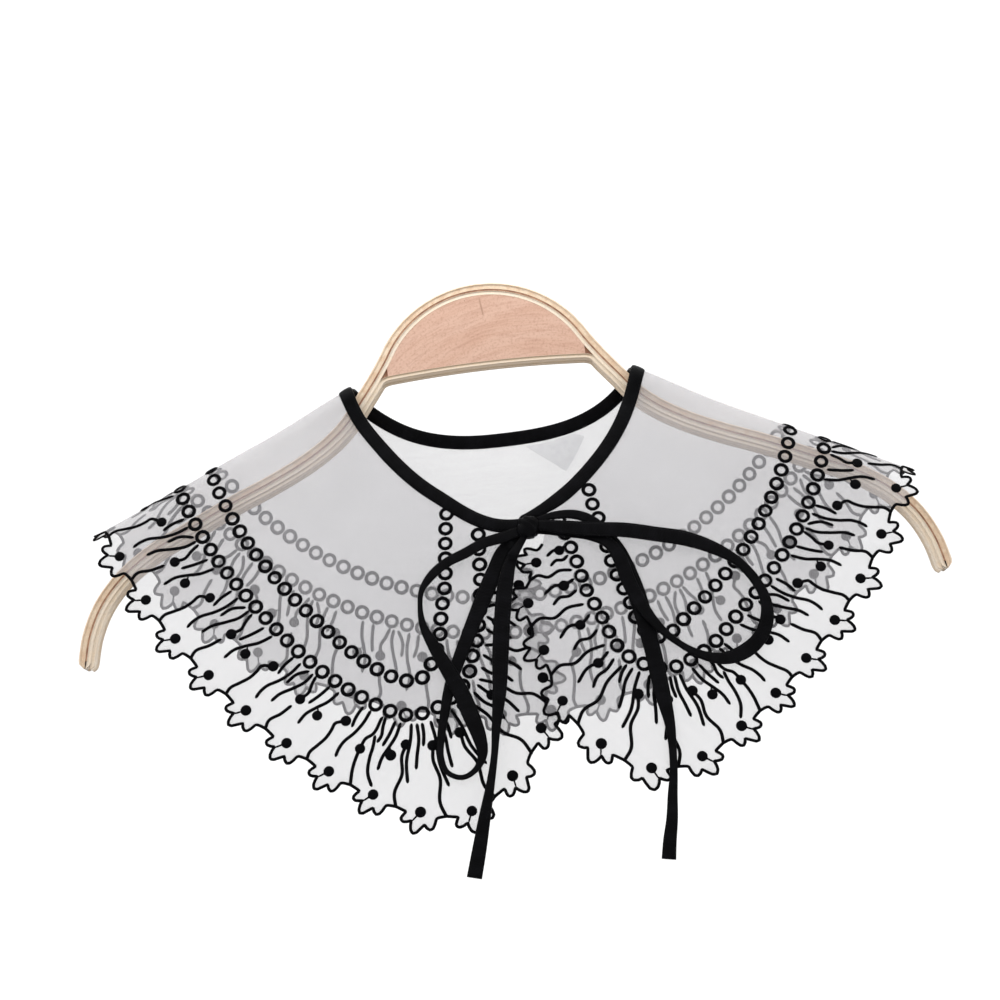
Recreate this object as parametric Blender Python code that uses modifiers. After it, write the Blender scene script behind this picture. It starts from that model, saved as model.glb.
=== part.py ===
"""Lace collar on a wooden hanger: a sheer shawl collar with a scalloped edge,
its bound neck and tied bow, hung on a bentwood hanger. Metres, +Z up.
The origin is the crest of the hanger, where its hook or peg takes hold."""

import math

import bmesh
import bpy
import numpy as np
from mathutils import Vector
from mathutils.geometry import delaunay_2d_cdt

MM = 0.001
SEAM_GAP = 0.3 * MM

# Hanger: bent plies glued one inside the other, with a half-moon plate under the arch.
HANGER_DEPTH = 11.0 * MM
ARCH_RADIUS = 59.5 * MM
ARCH_HALF_ANGLE = 61.5
OUTER_PLY = 3.8 * MM
INNER_PLY = 4.8 * MM
ARCH_LINING = 2.2 * MM
LINING_GAP = 0.45 * MM
CHORD_PLY = 2.4 * MM
CHORD_TOP_CENTRE = -40.2 * MM
CHORD_TOP_END = -42.3 * MM
JUNCTION_X = 50.3 * MM
LINING_REACH = 58.5
PLATE_REACH = 61.5
CHORD_INSET = 2.0 * MM
ARM_INSET = 1.0 * MM
EDGE_ROUNDING = 0.9 * MM
GLUE_STATIONS = 40
ARCH_STATIONS = 33
CHORD_STATIONS = 9

# Glue line along one arm, from the end of the arch to the tip.
ARM_GLUE_LINE = (
    # x, z
    (56.5, -44.0),
    (65.0, -55.0),
    (72.5, -64.5),
    (82.5, -73.0),
    (92.0, -79.0),
    (111.5, -88.5),
    (131.0, -96.5),
    (154.0, -107.0),
    (175.5, -117.5),
    (191.5, -129.5),
    (201.0, -141.0),
    (207.0, -153.5),
    (211.0, -170.0),
)

# Hung form of the cloth: a cone bent into a flat-sided fan, folded sharply over each arm.
APEX = Vector((1.2, 0.0, -18.0)) * MM
FOLD_LEFT = 66.4
FOLD_RIGHT = 62.8
FRONT_LEAN = 0.24
BACK_LEAN = 0.14
SHOULDER_LEAN = 0.13
FOLD_SQUARENESS = 4.0
WALL = 1.2 * MM
CONE_SAMPLES = 1440

# Flat pattern of the collar. Its origin is the cone's apex, +Y is the centre back
# and +X is the wearer's right front, seen at the left.
RING_CENTRE = Vector((-4.7, -33.3)) * MM
# Spacing of the points inside the pattern: degrees round the apex, then distances from it.
MESH_DEGREES = (-128.0, 140.0)
MESH_STEPS = (
    # degrees from a fold, step
    (5.0, 1.6),
    (12.0, 2.6),
    (360.0, 5.0),
)
MESH_DISTANCES = (64.0 * MM, 256.0 * MM, 15.0 * MM)
MESH_MARGIN = 6.5 * MM

HEM_RADII = (
    # degrees from centre back, radius
    (-107, 234.0),
    (-92, 229.5),
    (-70, 228.5),
    (-40, 230.0),
    (0, 231.0),
    (40, 230.0),
    (66, 230.0),
    (78, 228.6),
    (90, 229.3),
    (100, 232.3),
    (112, 238.4),
)

NECK_RADII = (
    # degrees from centre back, radius of the binding's middle
    (-112, 91.0),
    (-83, 89.5),
    (-62, 92.0),
    (-33, 97.5),
    (0, 94.0),
    (33, 98.5),
    (56, 97.5),
    (76, 92.5),
    (99, 92.0),
    (124, 95.0),
    (132, 91.0),
)
BINDING_ENDS = (-105.6, 128.8)
NECK_EDGE_ENDS = (-104.4, 123.0)
NECK_STEP = 3.0
FOLD_STEP = 0.75
FOLD_REACH = 8.0

# Front edges from the neck down and round the corner to the hem, along the valleys.
LEFT_FRONT_EDGE = (
    # x, y on the flat pattern
    (79.0, -90.0),
    (96.0, -112.0),
    (122.0, -150.0),
    (140.0, -165.0),
    (167.0, -170.5),
    (192.0, -167.0),
    (208.0, -148.0),
)
RIGHT_FRONT_EDGE = (
    # x, y on the flat pattern
    (-104.0, -72.0),
    (-108.0, -82.0),
    (-122.0, -102.5),
    (-143.0, -113.5),
    (-162.0, -124.5),
    (-191.5, -128.5),
    (-214.0, -122.5),
)

HEM_STATIONS = 48
VALLEY_SAMPLES = 2400

SCALLOPS = 49
SCALLOP_PLACES = (
    # scallop, distance of its middle along the valley line from the left neck end
    (-0.5, 12.4),
    (0, 24.6),
    (3, 97.5),
    (4, 124.0),
    (7, 197.3),
    (8, 221.5),
    (10, 271.5),
    (13, 348.5),
    (15, 402.5),
    (35, 912.8),
    (38, 990.1),
    (41, 1059.1),
    (44, 1134.3),
    (45, 1161.8),
    (48, 1234.7),
    (48.5, 1243.7),
)
SCALLOP = (
    # share of the pitch, height over the valley line
    (0.00, 0.0),
    (0.17, 0.8),
    (0.18, 4.0),
    (0.27, 5.2),
    (0.35, 4.0),
    (0.41, 8.2),
    (0.50, 9.8),
    (0.58, 8.0),
    (0.62, 4.8),
    (0.74, 6.2),
    (0.81, 4.6),
    (0.81, 0.9),
)

# Soft folds: ridges and troughs that run down the cloth and fade towards the neck.
SOFT_FOLDS = (
    # degrees from centre back, height outwards, half width in degrees, distance where it starts
    (96, 2.6, 10, 120),
    (112, -1.8, 8, 130),
    (82, -1.6, 7, 150),
    (-90, 2.4, 9, 140),
    (-106, -1.6, 8, 130),
    (-4, -2.4, 5, 70),
    (26, 2.6, 11, 110),
    (-30, 2.8, 12, 110),
    (50, -1.8, 8, 140),
    (-50, -1.6, 8, 140),
)
SOFT_FOLD_END = 230.0 * MM
OVERLAP_LIFT = 2.0 * MM
OVERLAP_DEGREES = (-127.0, -113.0)

# Extra room beside each fold near the neck, where the binding bends over the arm.
ARM_FULLNESS = 2.9 * MM
FULLNESS_OFF_FOLD = 5.0
FULLNESS_HALF_WIDTH = 5.0
FULLNESS_FADE = (80.0 * MM, 130.0 * MM)

BINDING_WIDTH = 7.8 * MM
BINDING_THICKNESS = 2.4 * MM

RIBBON_WIDTH = 8.2 * MM
RIBBON_THICKNESS = 1.2 * MM
KNOT_SIZE = Vector((10.5, 8.0, 11.0)) * MM
KNOT_PLACE = (10.5, -132.0, 3.4)
KNOT_ROUNDING = 2.6 * MM
KNOT_TURN = (math.radians(-13), math.radians(8), 0.0)

# Routes of the tie in front of the cloth, down to where each strand ends.
LEFT_LOOP = (
    # x, z, height off the cloth, share of the width
    (4.6, -134.0, 4.2, 0.60),
    (-2.5, -135.5, 4.2, 0.70),
    (-11.0, -137.0, 4.2, 0.65),
    (-20.5, -141.0, 4.2, 0.65),
    (-30.5, -145.0, 4.2, 0.60),
    (-38.0, -150.5, 4.2, 0.55),
    (-43.0, -157.0, 4.2, 0.35),
    (-44.5, -165.0, 4.2, 0.30),
    (-44.0, -174.0, 4.2, 0.45),
    (-40.0, -184.5, 4.2, 0.70),
    (-35.0, -196.0, 4.2, 0.85),
    (-30.0, -207.5, 4.0, 0.95),
    (-26.0, -220.5, 3.8, 0.95),
    (-23.5, -230.0, 3.4, 0.80),
    (-23.0, -238.5, 3.2, 0.55),
    (-26.5, -244.5, 3.0, 0.35),
    (-33.0, -247.5, 2.8, 0.30),
    (-39.5, -244.5, 2.4, 0.30),
    (-42.0, -237.0, 2.2, 0.35),
    (-41.0, -227.5, 2.0, 0.45),
    (-38.0, -215.5, 1.8, 0.55),
    (-35.0, -205.0, 1.6, 0.65),
    (-30.0, -193.5, 1.6, 0.75),
    (-23.0, -179.5, 1.6, 0.85),
    (-15.5, -165.0, 1.6, 0.95),
    (-8.0, -151.0, 1.6, 0.95),
    (-1.5, -140.0, 1.6, 0.80),
    (4.4, -135.6, 1.6, 0.55),
)
RIGHT_LOOP = (
    # x, z, height off the cloth, share of the width
    (16.6, -132.5, 5.6, 0.65),
    (27.0, -134.5, 5.6, 0.85),
    (41.0, -137.0, 5.6, 0.90),
    (55.5, -139.0, 5.4, 0.95),
    (69.5, -142.5, 5.2, 0.95),
    (84.0, -146.5, 5.0, 0.95),
    (96.5, -152.5, 4.6, 0.80),
    (106.5, -160.0, 4.2, 0.60),
    (113.5, -170.0, 3.8, 0.60),
    (117.0, -180.5, 3.4, 0.65),
    (116.0, -190.0, 3.2, 0.80),
    (111.5, -198.0, 3.2, 0.85),
    (103.0, -204.0, 3.2, 0.90),
    (93.5, -206.0, 3.2, 0.75),
    (84.0, -203.5, 3.2, 0.55),
    (75.5, -198.0, 3.2, 0.40),
    (69.0, -192.0, 3.2, 0.45),
    (63.0, -184.0, 3.4, 0.60),
    (58.0, -174.5, 3.4, 0.80),
    (54.0, -163.0, 3.4, 0.85),
    (51.5, -151.5, 3.4, 0.80),
    (47.0, -143.5, 3.4, 0.70),
    (38.5, -139.0, 3.4, 0.60),
    (28.0, -136.5, 3.4, 0.55),
    (16.6, -134.2, 3.4, 0.45),
)
LEFT_TAIL = (
    # x, z, height off the cloth, share of the width
    (7.0, -138.0, 4.2, 0.40),
    (1.0, -147.0, 5.6, 0.65),
    (-3.5, -159.5, 5.4, 0.90),
    (-6.5, -174.0, 5.4, 0.95),
    (-9.5, -192.5, 5.2, 0.95),
    (-12.0, -210.5, 5.2, 0.80),
    (-15.5, -228.0, 5.2, 0.50),
    (-17.5, -239.5, 5.0, 0.40),
    (-21.0, -253.5, 4.8, 0.50),
    (-24.5, -265.5, 4.6, 0.65),
    (-29.0, -281.5, 4.2, 0.80),
    (-32.5, -293.5, 4.0, 0.85),
)
RIGHT_TAIL = (
    # x, z, height off the cloth, share of the width
    (16.6, -128.2, 3.2, 0.35),
    (24.0, -127.0, 3.0, 0.50),
    (34.0, -127.5, 2.4, 0.60),
    (41.0, -131.0, 1.8, 0.65),
    (46.0, -137.0, 1.6, 0.70),
    (50.5, -145.5, 1.4, 0.95),
    (54.5, -157.5, 1.4, 1.05),
    (57.5, -170.0, 1.4, 1.05),
    (59.5, -184.0, 1.4, 1.00),
    (61.0, -197.0, 1.4, 0.95),
    (62.0, -209.5, 1.4, 0.95),
    (63.0, -221.5, 1.4, 0.85),
    (64.0, -234.0, 1.5, 0.60),
    (63.5, -246.0, 1.7, 0.45),
    (62.5, -255.5, 1.9, 0.45),
    (60.5, -266.0, 2.2, 0.55),
    (58.5, -277.5, 2.6, 0.65),
    (56.0, -287.5, 3.0, 0.75),
    (54.5, -295.0, 3.0, 0.80),
)
RIBBON_STATIONS = 46

# Blank translucent tab inside the back of the neck, hung askew from the binding.
TAB_TOP = ((-5.0, 98.9), (-19.3, 100.5))
TAB_FOOT = ((-13.6, 116.5), (-21.6, 104.4))
TAB_THICKNESS = 1.0 * MM
TAB_STATIONS = 6


def interpolate(table, where):
    """Smooth value of a table's second column at many places."""
    rows = np.array(table, dtype=float)
    return smooth_through(rows[:, 0], rows[:, 1], where)


def smooth_through(places, values, where):
    """Cubic curve through the values, with slopes from the neighbours."""
    slopes = np.gradient(values, places)
    where = np.asarray(where, dtype=float)
    index = np.clip(np.searchsorted(places, where, side="right") - 1, 0, len(places) - 2)
    span = places[index + 1] - places[index]
    share = np.clip((where - places[index]) / span, 0.0, 1.0)
    square = share * share
    cube = square * share
    return (
        (2 * cube - 3 * square + 1) * values[index]
        + (cube - 2 * square + share) * span * slopes[index]
        + (3 * square - 2 * cube) * values[index + 1]
        + (cube - square) * span * slopes[index + 1]
    )


def curve_through(points, count):
    """Evenly spaced points along a smooth curve through the given ones."""
    points = np.array(points, dtype=float)
    steps = np.linalg.norm(np.diff(points[:, :2], axis=0), axis=1)
    places = np.concatenate([[0.0], np.cumsum(steps)])
    dense = np.linspace(0.0, places[-1], 40 * len(points))
    curve = np.stack([smooth_through(places, column, dense) for column in points.T], axis=-1)
    return evenly_spaced(curve, count)


def evenly_spaced(curve, count):
    """The same curve with points at equal distances."""
    steps = np.linalg.norm(np.diff(curve, axis=0), axis=1)
    along = np.concatenate([[0.0], np.cumsum(steps)])
    wanted = np.linspace(0.0, along[-1], count)
    return np.stack([np.interp(wanted, along, column) for column in curve.T], axis=-1)


class HungCone:
    """Maps the flat pattern to its hung form, keeping lengths along the cloth."""

    def __init__(self):
        turn = np.linspace(-math.pi, math.pi, CONE_SAMPLES)
        side = np.sin(turn)
        ahead = np.cos(turn)
        power = 2.0 / FOLD_SQUARENESS
        spread = np.sign(side) * np.abs(side) ** power
        swing = np.radians(spread * np.where(side > 0, FOLD_RIGHT, FOLD_LEFT))
        lean = np.where(ahead > 0, FRONT_LEAN, BACK_LEAN)
        lean = lean * (1 - spread**2) * np.cos(swing) + SHOULDER_LEAN * spread**2
        pitch = np.arctan(lean * np.sign(ahead) * np.abs(ahead) ** power)
        self.directions = np.stack(
            [np.cos(pitch) * np.sin(swing), -np.sin(pitch), -np.cos(pitch) * np.cos(swing)],
            axis=-1,
        )
        steps = np.linalg.norm(np.diff(self.directions, axis=0), axis=1)
        around = np.concatenate([[0.0], np.cumsum(steps)])
        self.around = around - np.interp(0.0, turn, around)
        along = np.gradient(self.directions, self.around, axis=0)
        normals = np.cross(self.directions, along)
        self.normals = normals / np.linalg.norm(normals, axis=1)[:, None]
        front = self.directions[:, 1] < 0
        if self.normals[front, 1].mean() > 0:
            self.normals = -self.normals
        left, right = np.interp((-math.pi / 2, math.pi / 2), turn, self.around)
        self.folds = np.degrees((left - self.around[0], right - self.around[-1]))

    def soft_rise(self, distance, degrees):
        """How far the soft folds, the overlap and the room over the arms raise the cloth."""
        rise = np.zeros_like(distance)
        for centre, height, half_width, start in SOFT_FOLDS:
            across = np.exp(-(((degrees - centre) / half_width) ** 2))
            rise += height * MM * across * fade(distance, start * MM, SOFT_FOLD_END)
        near_edge = 1 - fade(degrees, *OVERLAP_DEGREES)
        rise += np.where(degrees < 0, OVERLAP_LIFT * near_edge, 0.0)
        near_neck = 1 - fade(distance, *FULLNESS_FADE)
        for fold in self.folds:
            off_middle = np.abs(degrees - fold) - FULLNESS_OFF_FOLD
            rise += ARM_FULLNESS * near_neck * np.exp(-((off_middle / FULLNESS_HALF_WIDTH) ** 2))
        return rise

    def place(self, flat, lift=0.0):
        """Points of the cloth for points of the flat pattern, raised off its face."""
        flat = np.asarray(flat, dtype=float)
        x = flat[..., 0]
        y = flat[..., 1]
        distance = np.hypot(x, y)
        angle = np.arctan2(x, y)
        around = np.where(angle > 0, self.around[0] + angle, self.around[-1] + angle)
        direction = np.stack([np.interp(around, self.around, c) for c in self.directions.T], axis=-1)
        normal = np.stack([np.interp(around, self.around, c) for c in self.normals.T], axis=-1)
        normal /= np.linalg.norm(normal, axis=-1)[..., None]
        rise = lift + self.soft_rise(distance, np.degrees(angle))
        return np.array(APEX) + direction * distance[..., None] + normal * rise[..., None]


def fade(value, start, end):
    """0 before start, 1 after end, and smooth between."""
    share = np.clip((value - start) / (end - start), 0.0, 1.0)
    return share * share * (3 - 2 * share)


def ring_point(degrees, radius):
    angle = np.radians(degrees)
    centre = np.array(RING_CENTRE)
    return centre + radius[..., None] * np.stack([np.sin(angle), np.cos(angle)], axis=-1)


def hem_path(count):
    """Valley line of the edge, from the neck at the left front round to the right front."""
    left = np.array(LEFT_FRONT_EDGE) * MM
    right = np.array(RIGHT_FRONT_EDGE) * MM
    degrees = np.linspace(HEM_RADII[-1][0], HEM_RADII[0][0], HEM_STATIONS)
    hem = ring_point(degrees, interpolate(HEM_RADII, degrees) * MM)
    return curve_through(np.concatenate([left, hem, right[::-1]]), count)


def neck_path(degrees, offset):
    """Line round the neck, moved out from the middle of the binding."""
    return ring_point(degrees, interpolate(NECK_RADII, degrees) * MM + offset)


def neck_stations(cone, start, end):
    """Degrees round the neck, closer together where it bends over the arms."""
    stations = [start]
    while end - stations[-1] > NECK_STEP:
        flat = neck_path(np.array(stations[-1]), 0.0)
        off_fold = np.abs(cone.folds - math.degrees(math.atan2(flat[0], flat[1]))).min()
        stations.append(stations[-1] + (FOLD_STEP if off_fold < FOLD_REACH else NECK_STEP))
    return np.array(stations + [end])


def scalloped_outline(cone):
    """Edge of the cloth on the flat pattern, scallop by scallop, then back along the neck."""
    valley = hem_path(VALLEY_SAMPLES)
    length = np.linalg.norm(np.diff(valley, axis=0), axis=1).sum()
    tangent = np.gradient(valley, axis=0)
    tangent /= np.linalg.norm(tangent, axis=1)[:, None]
    outwards = np.stack([-tangent[:, 1], tangent[:, 0]], axis=-1)
    middle = len(valley) // 2
    if np.dot(outwards[middle], valley[middle] - np.array(RING_CENTRE)) < 0:
        outwards = -outwards
    outline = [valley[0]]
    for scallop in range(SCALLOPS):
        for share, height in SCALLOP:
            place = interpolate(SCALLOP_PLACES, scallop + share - 0.5) * MM
            index = int(place / length * (len(valley) - 1))
            outline.append(valley[index] + outwards[index] * height * MM)
    outline.append(valley[-1])
    neck_edge = BINDING_WIDTH / 2 + SEAM_GAP
    degrees = neck_stations(cone, *NECK_EDGE_ENDS)
    outline.extend(neck_path(degrees, neck_edge))
    return np.array(outline)


def inner_points(cone, outline):
    """Points inside the pattern: rows round the apex, closer together over the arms."""
    angles = [MESH_DEGREES[0]]
    while angles[-1] < MESH_DEGREES[1]:
        near = np.abs(cone.folds - angles[-1]).min()
        step = next(step for reach, step in MESH_STEPS if near < reach)
        angles.append(angles[-1] + step)
    points = []
    for angle in np.radians(angles):
        for distance in np.arange(*MESH_DISTANCES):
            point = np.array((math.sin(angle), math.cos(angle))) * distance
            if stands_inside(point, outline, MESH_MARGIN):
                points.append(point)
    return points


def stands_inside(point, outline, margin):
    """True where the point is inside the outline and clear of it."""
    if np.linalg.norm(outline - point, axis=1).min() < margin:
        return False
    ahead = np.roll(outline, -1, axis=0)
    crosses = (outline[:, 1] > point[1]) != (ahead[:, 1] > point[1])
    rise = np.where(crosses, ahead[:, 1] - outline[:, 1], 1.0)
    at = outline[:, 0] + (point[1] - outline[:, 1]) / rise * (ahead[:, 0] - outline[:, 0])
    return bool(np.count_nonzero(crosses & (point[0] < at)) % 2)


def material(name, colour, roughness, metallic=0.0):
    shade = bpy.data.materials.new(name)
    shade.use_nodes = True
    surface = shade.node_tree.nodes["Principled BSDF"]
    surface.inputs["Base Color"].default_value = (*colour, 1.0)
    surface.inputs["Roughness"].default_value = roughness
    surface.inputs["Metallic"].default_value = metallic
    return shade


def add_object(name, mesh_builder, shade, collection):
    bmesh.ops.recalc_face_normals(mesh_builder, faces=mesh_builder.faces)
    mesh = bpy.data.meshes.new(name)
    mesh_builder.to_mesh(mesh)
    mesh_builder.free()
    mesh.materials.append(shade)
    thing = bpy.data.objects.new(name, mesh)
    collection.objects.link(thing)
    return thing


def loft(sections):
    """Skin through sections that have the same number of points."""
    skin = bmesh.new()
    rings = [[skin.verts.new(point) for point in section] for section in sections]
    for near, far in zip(rings, rings[1:]):
        for side in range(len(near)):
            after = (side + 1) % len(near)
            skin.faces.new((near[side], near[after], far[after], far[side]))
    skin.faces.new(rings[0][::-1])
    skin.faces.new(rings[-1])
    return skin


def round_edges(thing):
    bevel = thing.modifiers.new("Rounded edges", "BEVEL")
    bevel.width = EDGE_ROUNDING
    bevel.segments = 2
    bevel.limit_method = "ANGLE"
    bevel.angle_limit = math.radians(40)


def glue_line():
    """Line between the plies from the crest to the right tip, in X and Z."""
    radius = ARCH_RADIUS - OUTER_PLY
    angles = np.radians(np.linspace(0, ARCH_HALF_ANGLE, 14))
    arch = np.stack([radius * np.sin(angles), radius * np.cos(angles) - ARCH_RADIUS], axis=-1)
    arm = np.array(ARM_GLUE_LINE) * MM
    return curve_through(np.concatenate([arch, arm]), GLUE_STATIONS)


def both_sides(half):
    """A half that starts at the middle, with its mirror image put before it."""
    mirrored = half[:0:-1] * np.array((-1, 1))
    return np.concatenate([mirrored, half])


def offset_line(line, distance):
    tangent = np.gradient(line, axis=0)
    tangent /= np.linalg.norm(tangent, axis=1)[:, None]
    return line + np.stack([-tangent[:, 1], tangent[:, 0]], axis=-1) * distance


def ply(name, top, bottom, shade, collection):
    """Bent strip of wood between two lines, as deep as the hanger."""
    half = HANGER_DEPTH / 2
    sections = []
    for (top_x, top_z), (low_x, low_z) in zip(top, bottom):
        sections.append(
            [(top_x, -half, top_z), (top_x, half, top_z), (low_x, half, low_z), (low_x, -half, low_z)]
        )
    strip = add_object(name, loft(sections), shade, collection)
    round_edges(strip)
    return strip


def chord_top(x):
    return CHORD_TOP_CENTRE + (CHORD_TOP_END - CHORD_TOP_CENTRE) * (x / JUNCTION_X) ** 2


def build_hanger(collection):
    pale_wood = material("pale_wood", (0.72, 0.50, 0.30), 0.5)
    plate_wood = material("plate_wood", (0.80, 0.52, 0.34), 0.55)
    half = glue_line()
    middle = both_sides(half)
    outer_top = offset_line(middle, OUTER_PLY)
    ply("hanger_outer_ply", outer_top, middle, pale_wood, collection)

    arm_start = np.searchsorted(half[:, 0], JUNCTION_X + ARM_INSET)
    arm = half[arm_start:]
    chord_x = np.linspace(0, JUNCTION_X - CHORD_INSET, CHORD_STATIONS)
    chord = np.stack([chord_x, chord_top(chord_x)], axis=-1)
    arm_top = offset_line(arm, -SEAM_GAP)
    arm_low = offset_line(arm, -INNER_PLY)
    chord_low = chord - np.array((0, 1)) * CHORD_PLY
    top = both_sides(np.concatenate([chord, arm_top]))
    low = both_sides(np.concatenate([chord_low, arm_low]))
    ply("hanger_inner_ply", top, low, pale_wood, collection)

    lining_outer = ARCH_RADIUS - OUTER_PLY - LINING_GAP
    lining_inner = lining_outer - ARCH_LINING
    plate_radius = lining_inner - SEAM_GAP
    angles = np.radians(np.linspace(-LINING_REACH, LINING_REACH, ARCH_STATIONS))
    outer = np.stack([np.sin(angles), np.cos(angles)], axis=-1) * lining_outer
    inner = np.stack([np.sin(angles), np.cos(angles)], axis=-1) * lining_inner
    drop = np.array((0, -ARCH_RADIUS))
    ply("hanger_arch_lining", outer + drop, inner + drop, pale_wood, collection)

    angles = np.radians(np.linspace(-PLATE_REACH, PLATE_REACH, ARCH_STATIONS))
    rim = np.stack([np.sin(angles), np.cos(angles)], axis=-1) * plate_radius + drop
    foot = np.stack([rim[:, 0], chord_top(rim[:, 0]) + SEAM_GAP], axis=-1)
    foot[:, 1] = np.minimum(foot[:, 1], rim[:, 1] - SEAM_GAP)
    ply("hanger_plate", rim, foot, plate_wood, collection)


def build_panel(cone, collection):
    """The organza, cut flat along its scalloped outline and then hung."""
    organza = material("organza", (0.78, 0.76, 0.79), 0.6)
    outline = scalloped_outline(cone)
    inside = inner_points(cone, outline)
    points = [Vector(point) for point in outline] + [Vector(point) for point in inside]
    ring = list(range(len(outline)))
    flat, _, faces, *_ = delaunay_2d_cdt(points, [], [ring], 1, 0.00001)
    flat = np.array([tuple(point) for point in flat])
    inner_face = cone.place(flat)
    outer_face = cone.place(flat, WALL)
    cloth = bmesh.new()
    low = [cloth.verts.new(point) for point in inner_face]
    high = [cloth.verts.new(point) for point in outer_face]
    for corners in faces:
        cloth.faces.new([high[corner] for corner in corners])
        cloth.faces.new([low[corner] for corner in reversed(corners)])
    cloth.verts.index_update()
    count = len(flat)
    rims = [edge for edge in cloth.edges if edge.is_boundary and edge.verts[0].index < count]
    cloth.verts.ensure_lookup_table()
    for edge in rims:
        first, second = (vertex.index for vertex in edge.verts)
        cloth.faces.new((low[first], low[second], high[second], high[first]))
    return add_object("collar_panel", cloth, organza, collection)


def band_sections(middle_line, across, face, width, thickness):
    """Rectangles of a flat band along a line."""
    half = width[:, None] / 2
    deep = thickness / 2
    corners = (
        middle_line - across * half - face * deep,
        middle_line + across * half - face * deep,
        middle_line + across * half + face * deep,
        middle_line - across * half + face * deep,
    )
    return np.stack(corners, axis=1)


def unit(vectors):
    return vectors / np.linalg.norm(vectors, axis=-1)[..., None]


def build_binding(cone, collection):
    """Folded bias strip that holds the neck edge."""
    satin = material("black_satin", (0.012, 0.012, 0.014), 0.35)
    degrees = neck_stations(cone, *BINDING_ENDS)
    middle = WALL / 2
    half = BINDING_WIDTH / 2
    deep = BINDING_THICKNESS / 2
    corners = [
        cone.place(neck_path(degrees, offset), lift)
        for offset, lift in (
            (-half, middle - deep),
            (half, middle - deep),
            (half, middle + deep),
            (-half, middle + deep),
        )
    ]
    sections = np.stack(corners, axis=1)
    return add_object("neck_binding", loft(sections), satin, collection)


def build_label(cone, collection):
    film = material("label_film", (0.82, 0.81, 0.83), 0.5)
    shares = np.linspace(0.0, 1.0, TAB_STATIONS)[:, None]
    edges = []
    for near, far in (TAB_TOP, TAB_FOOT):
        polar = np.array(near) * (1 - shares) + np.array(far) * shares
        edges.append(ring_point(polar[:, 0], polar[:, 1] * MM))
    lifts = (-SEAM_GAP, -SEAM_GAP - TAB_THICKNESS)
    corners = [cone.place(edges[row], lifts[face]) for row, face in ((0, 0), (1, 0), (1, 1), (0, 1))]
    return add_object("neck_label", loft(np.stack(corners, axis=1)), film, collection)


def cloth_front(cone, x, z):
    """Outer face of the front at places seen from ahead: its depth and outward normal."""
    across = x - APEX.x
    down = APEX.z - z
    swing = np.arctan2(across, down)
    front = cone.directions[:, 1] < 0
    swings = np.arctan2(cone.directions[front, 0], -cone.directions[front, 2])
    order = np.argsort(swings)
    around = np.interp(swing, swings[order], cone.around[front][order])
    direction = np.stack([np.interp(around, cone.around, c) for c in cone.directions.T], -1)
    normal = unit(np.stack([np.interp(around, cone.around, c) for c in cone.normals.T], -1))
    distance = np.hypot(across, down) / np.hypot(direction[..., 0], direction[..., 2])
    from_back = around - np.where(around < 0, cone.around[0], cone.around[-1])
    rise = cone.soft_rise(distance, np.degrees(from_back)) + WALL
    return direction[..., 1] * distance + normal[..., 1] * rise, normal


def ribbon(name, route, cone, satin, collection):
    """Strand of the tie: a flat strip that follows its route over the cloth."""
    route = curve_through(np.array(route, dtype=float), RIBBON_STATIONS)
    x = route[:, 0] * MM
    z = route[:, 1] * MM
    y, normal = cloth_front(cone, x, z)
    middle = np.stack([x, y, z], axis=-1) + normal * route[:, 2:3] * MM
    tangent = unit(np.gradient(middle, axis=0))
    side = unit(np.cross(tangent, normal))
    face = np.cross(side, tangent)
    sections = band_sections(middle, side, face, route[:, 3] * RIBBON_WIDTH, RIBBON_THICKNESS)
    return add_object(name, loft(sections), satin, collection)


def build_knot(cone, satin, collection):
    x, z, height = KNOT_PLACE
    y, normal = cloth_front(cone, np.array(x * MM), np.array(z * MM))
    knot = bmesh.new()
    bmesh.ops.create_cube(knot, size=1.0)
    bmesh.ops.scale(knot, vec=KNOT_SIZE, verts=knot.verts)
    edges = list(knot.edges)
    bmesh.ops.bevel(knot, geom=edges, offset=KNOT_ROUNDING, segments=3, affect="EDGES", profile=0.5)
    thing = add_object("bow_knot", knot, satin, collection)
    thing.location = Vector((x * MM, float(y), z * MM)) + Vector(normal) * (height * MM)
    thing.rotation_euler = KNOT_TURN


def build_tie(cone, collection):
    satin = material("black_satin_tie", (0.012, 0.012, 0.014), 0.35)
    build_knot(cone, satin, collection)
    ribbon("bow_loop_left", LEFT_LOOP, cone, satin, collection)
    ribbon("bow_loop_right", RIGHT_LOOP, cone, satin, collection)
    ribbon("tie_tail_left", LEFT_TAIL, cone, satin, collection)
    ribbon("tie_tail_right", RIGHT_TAIL, cone, satin, collection)


def main():
    for thing in list(bpy.data.objects):
        bpy.data.objects.remove(thing, do_unlink=True)
    collection = bpy.data.collections.new("lace_collar_on_a_hanger")
    bpy.context.scene.collection.children.link(collection)
    cone = HungCone()
    build_hanger(collection)
    build_panel(cone, collection)
    build_binding(cone, collection)
    build_label(cone, collection)
    build_tie(cone, collection)


main()
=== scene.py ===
import math

import bmesh
import bpy
import numpy as np
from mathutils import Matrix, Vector
from mathutils.geometry import delaunay_2d_cdt


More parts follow.
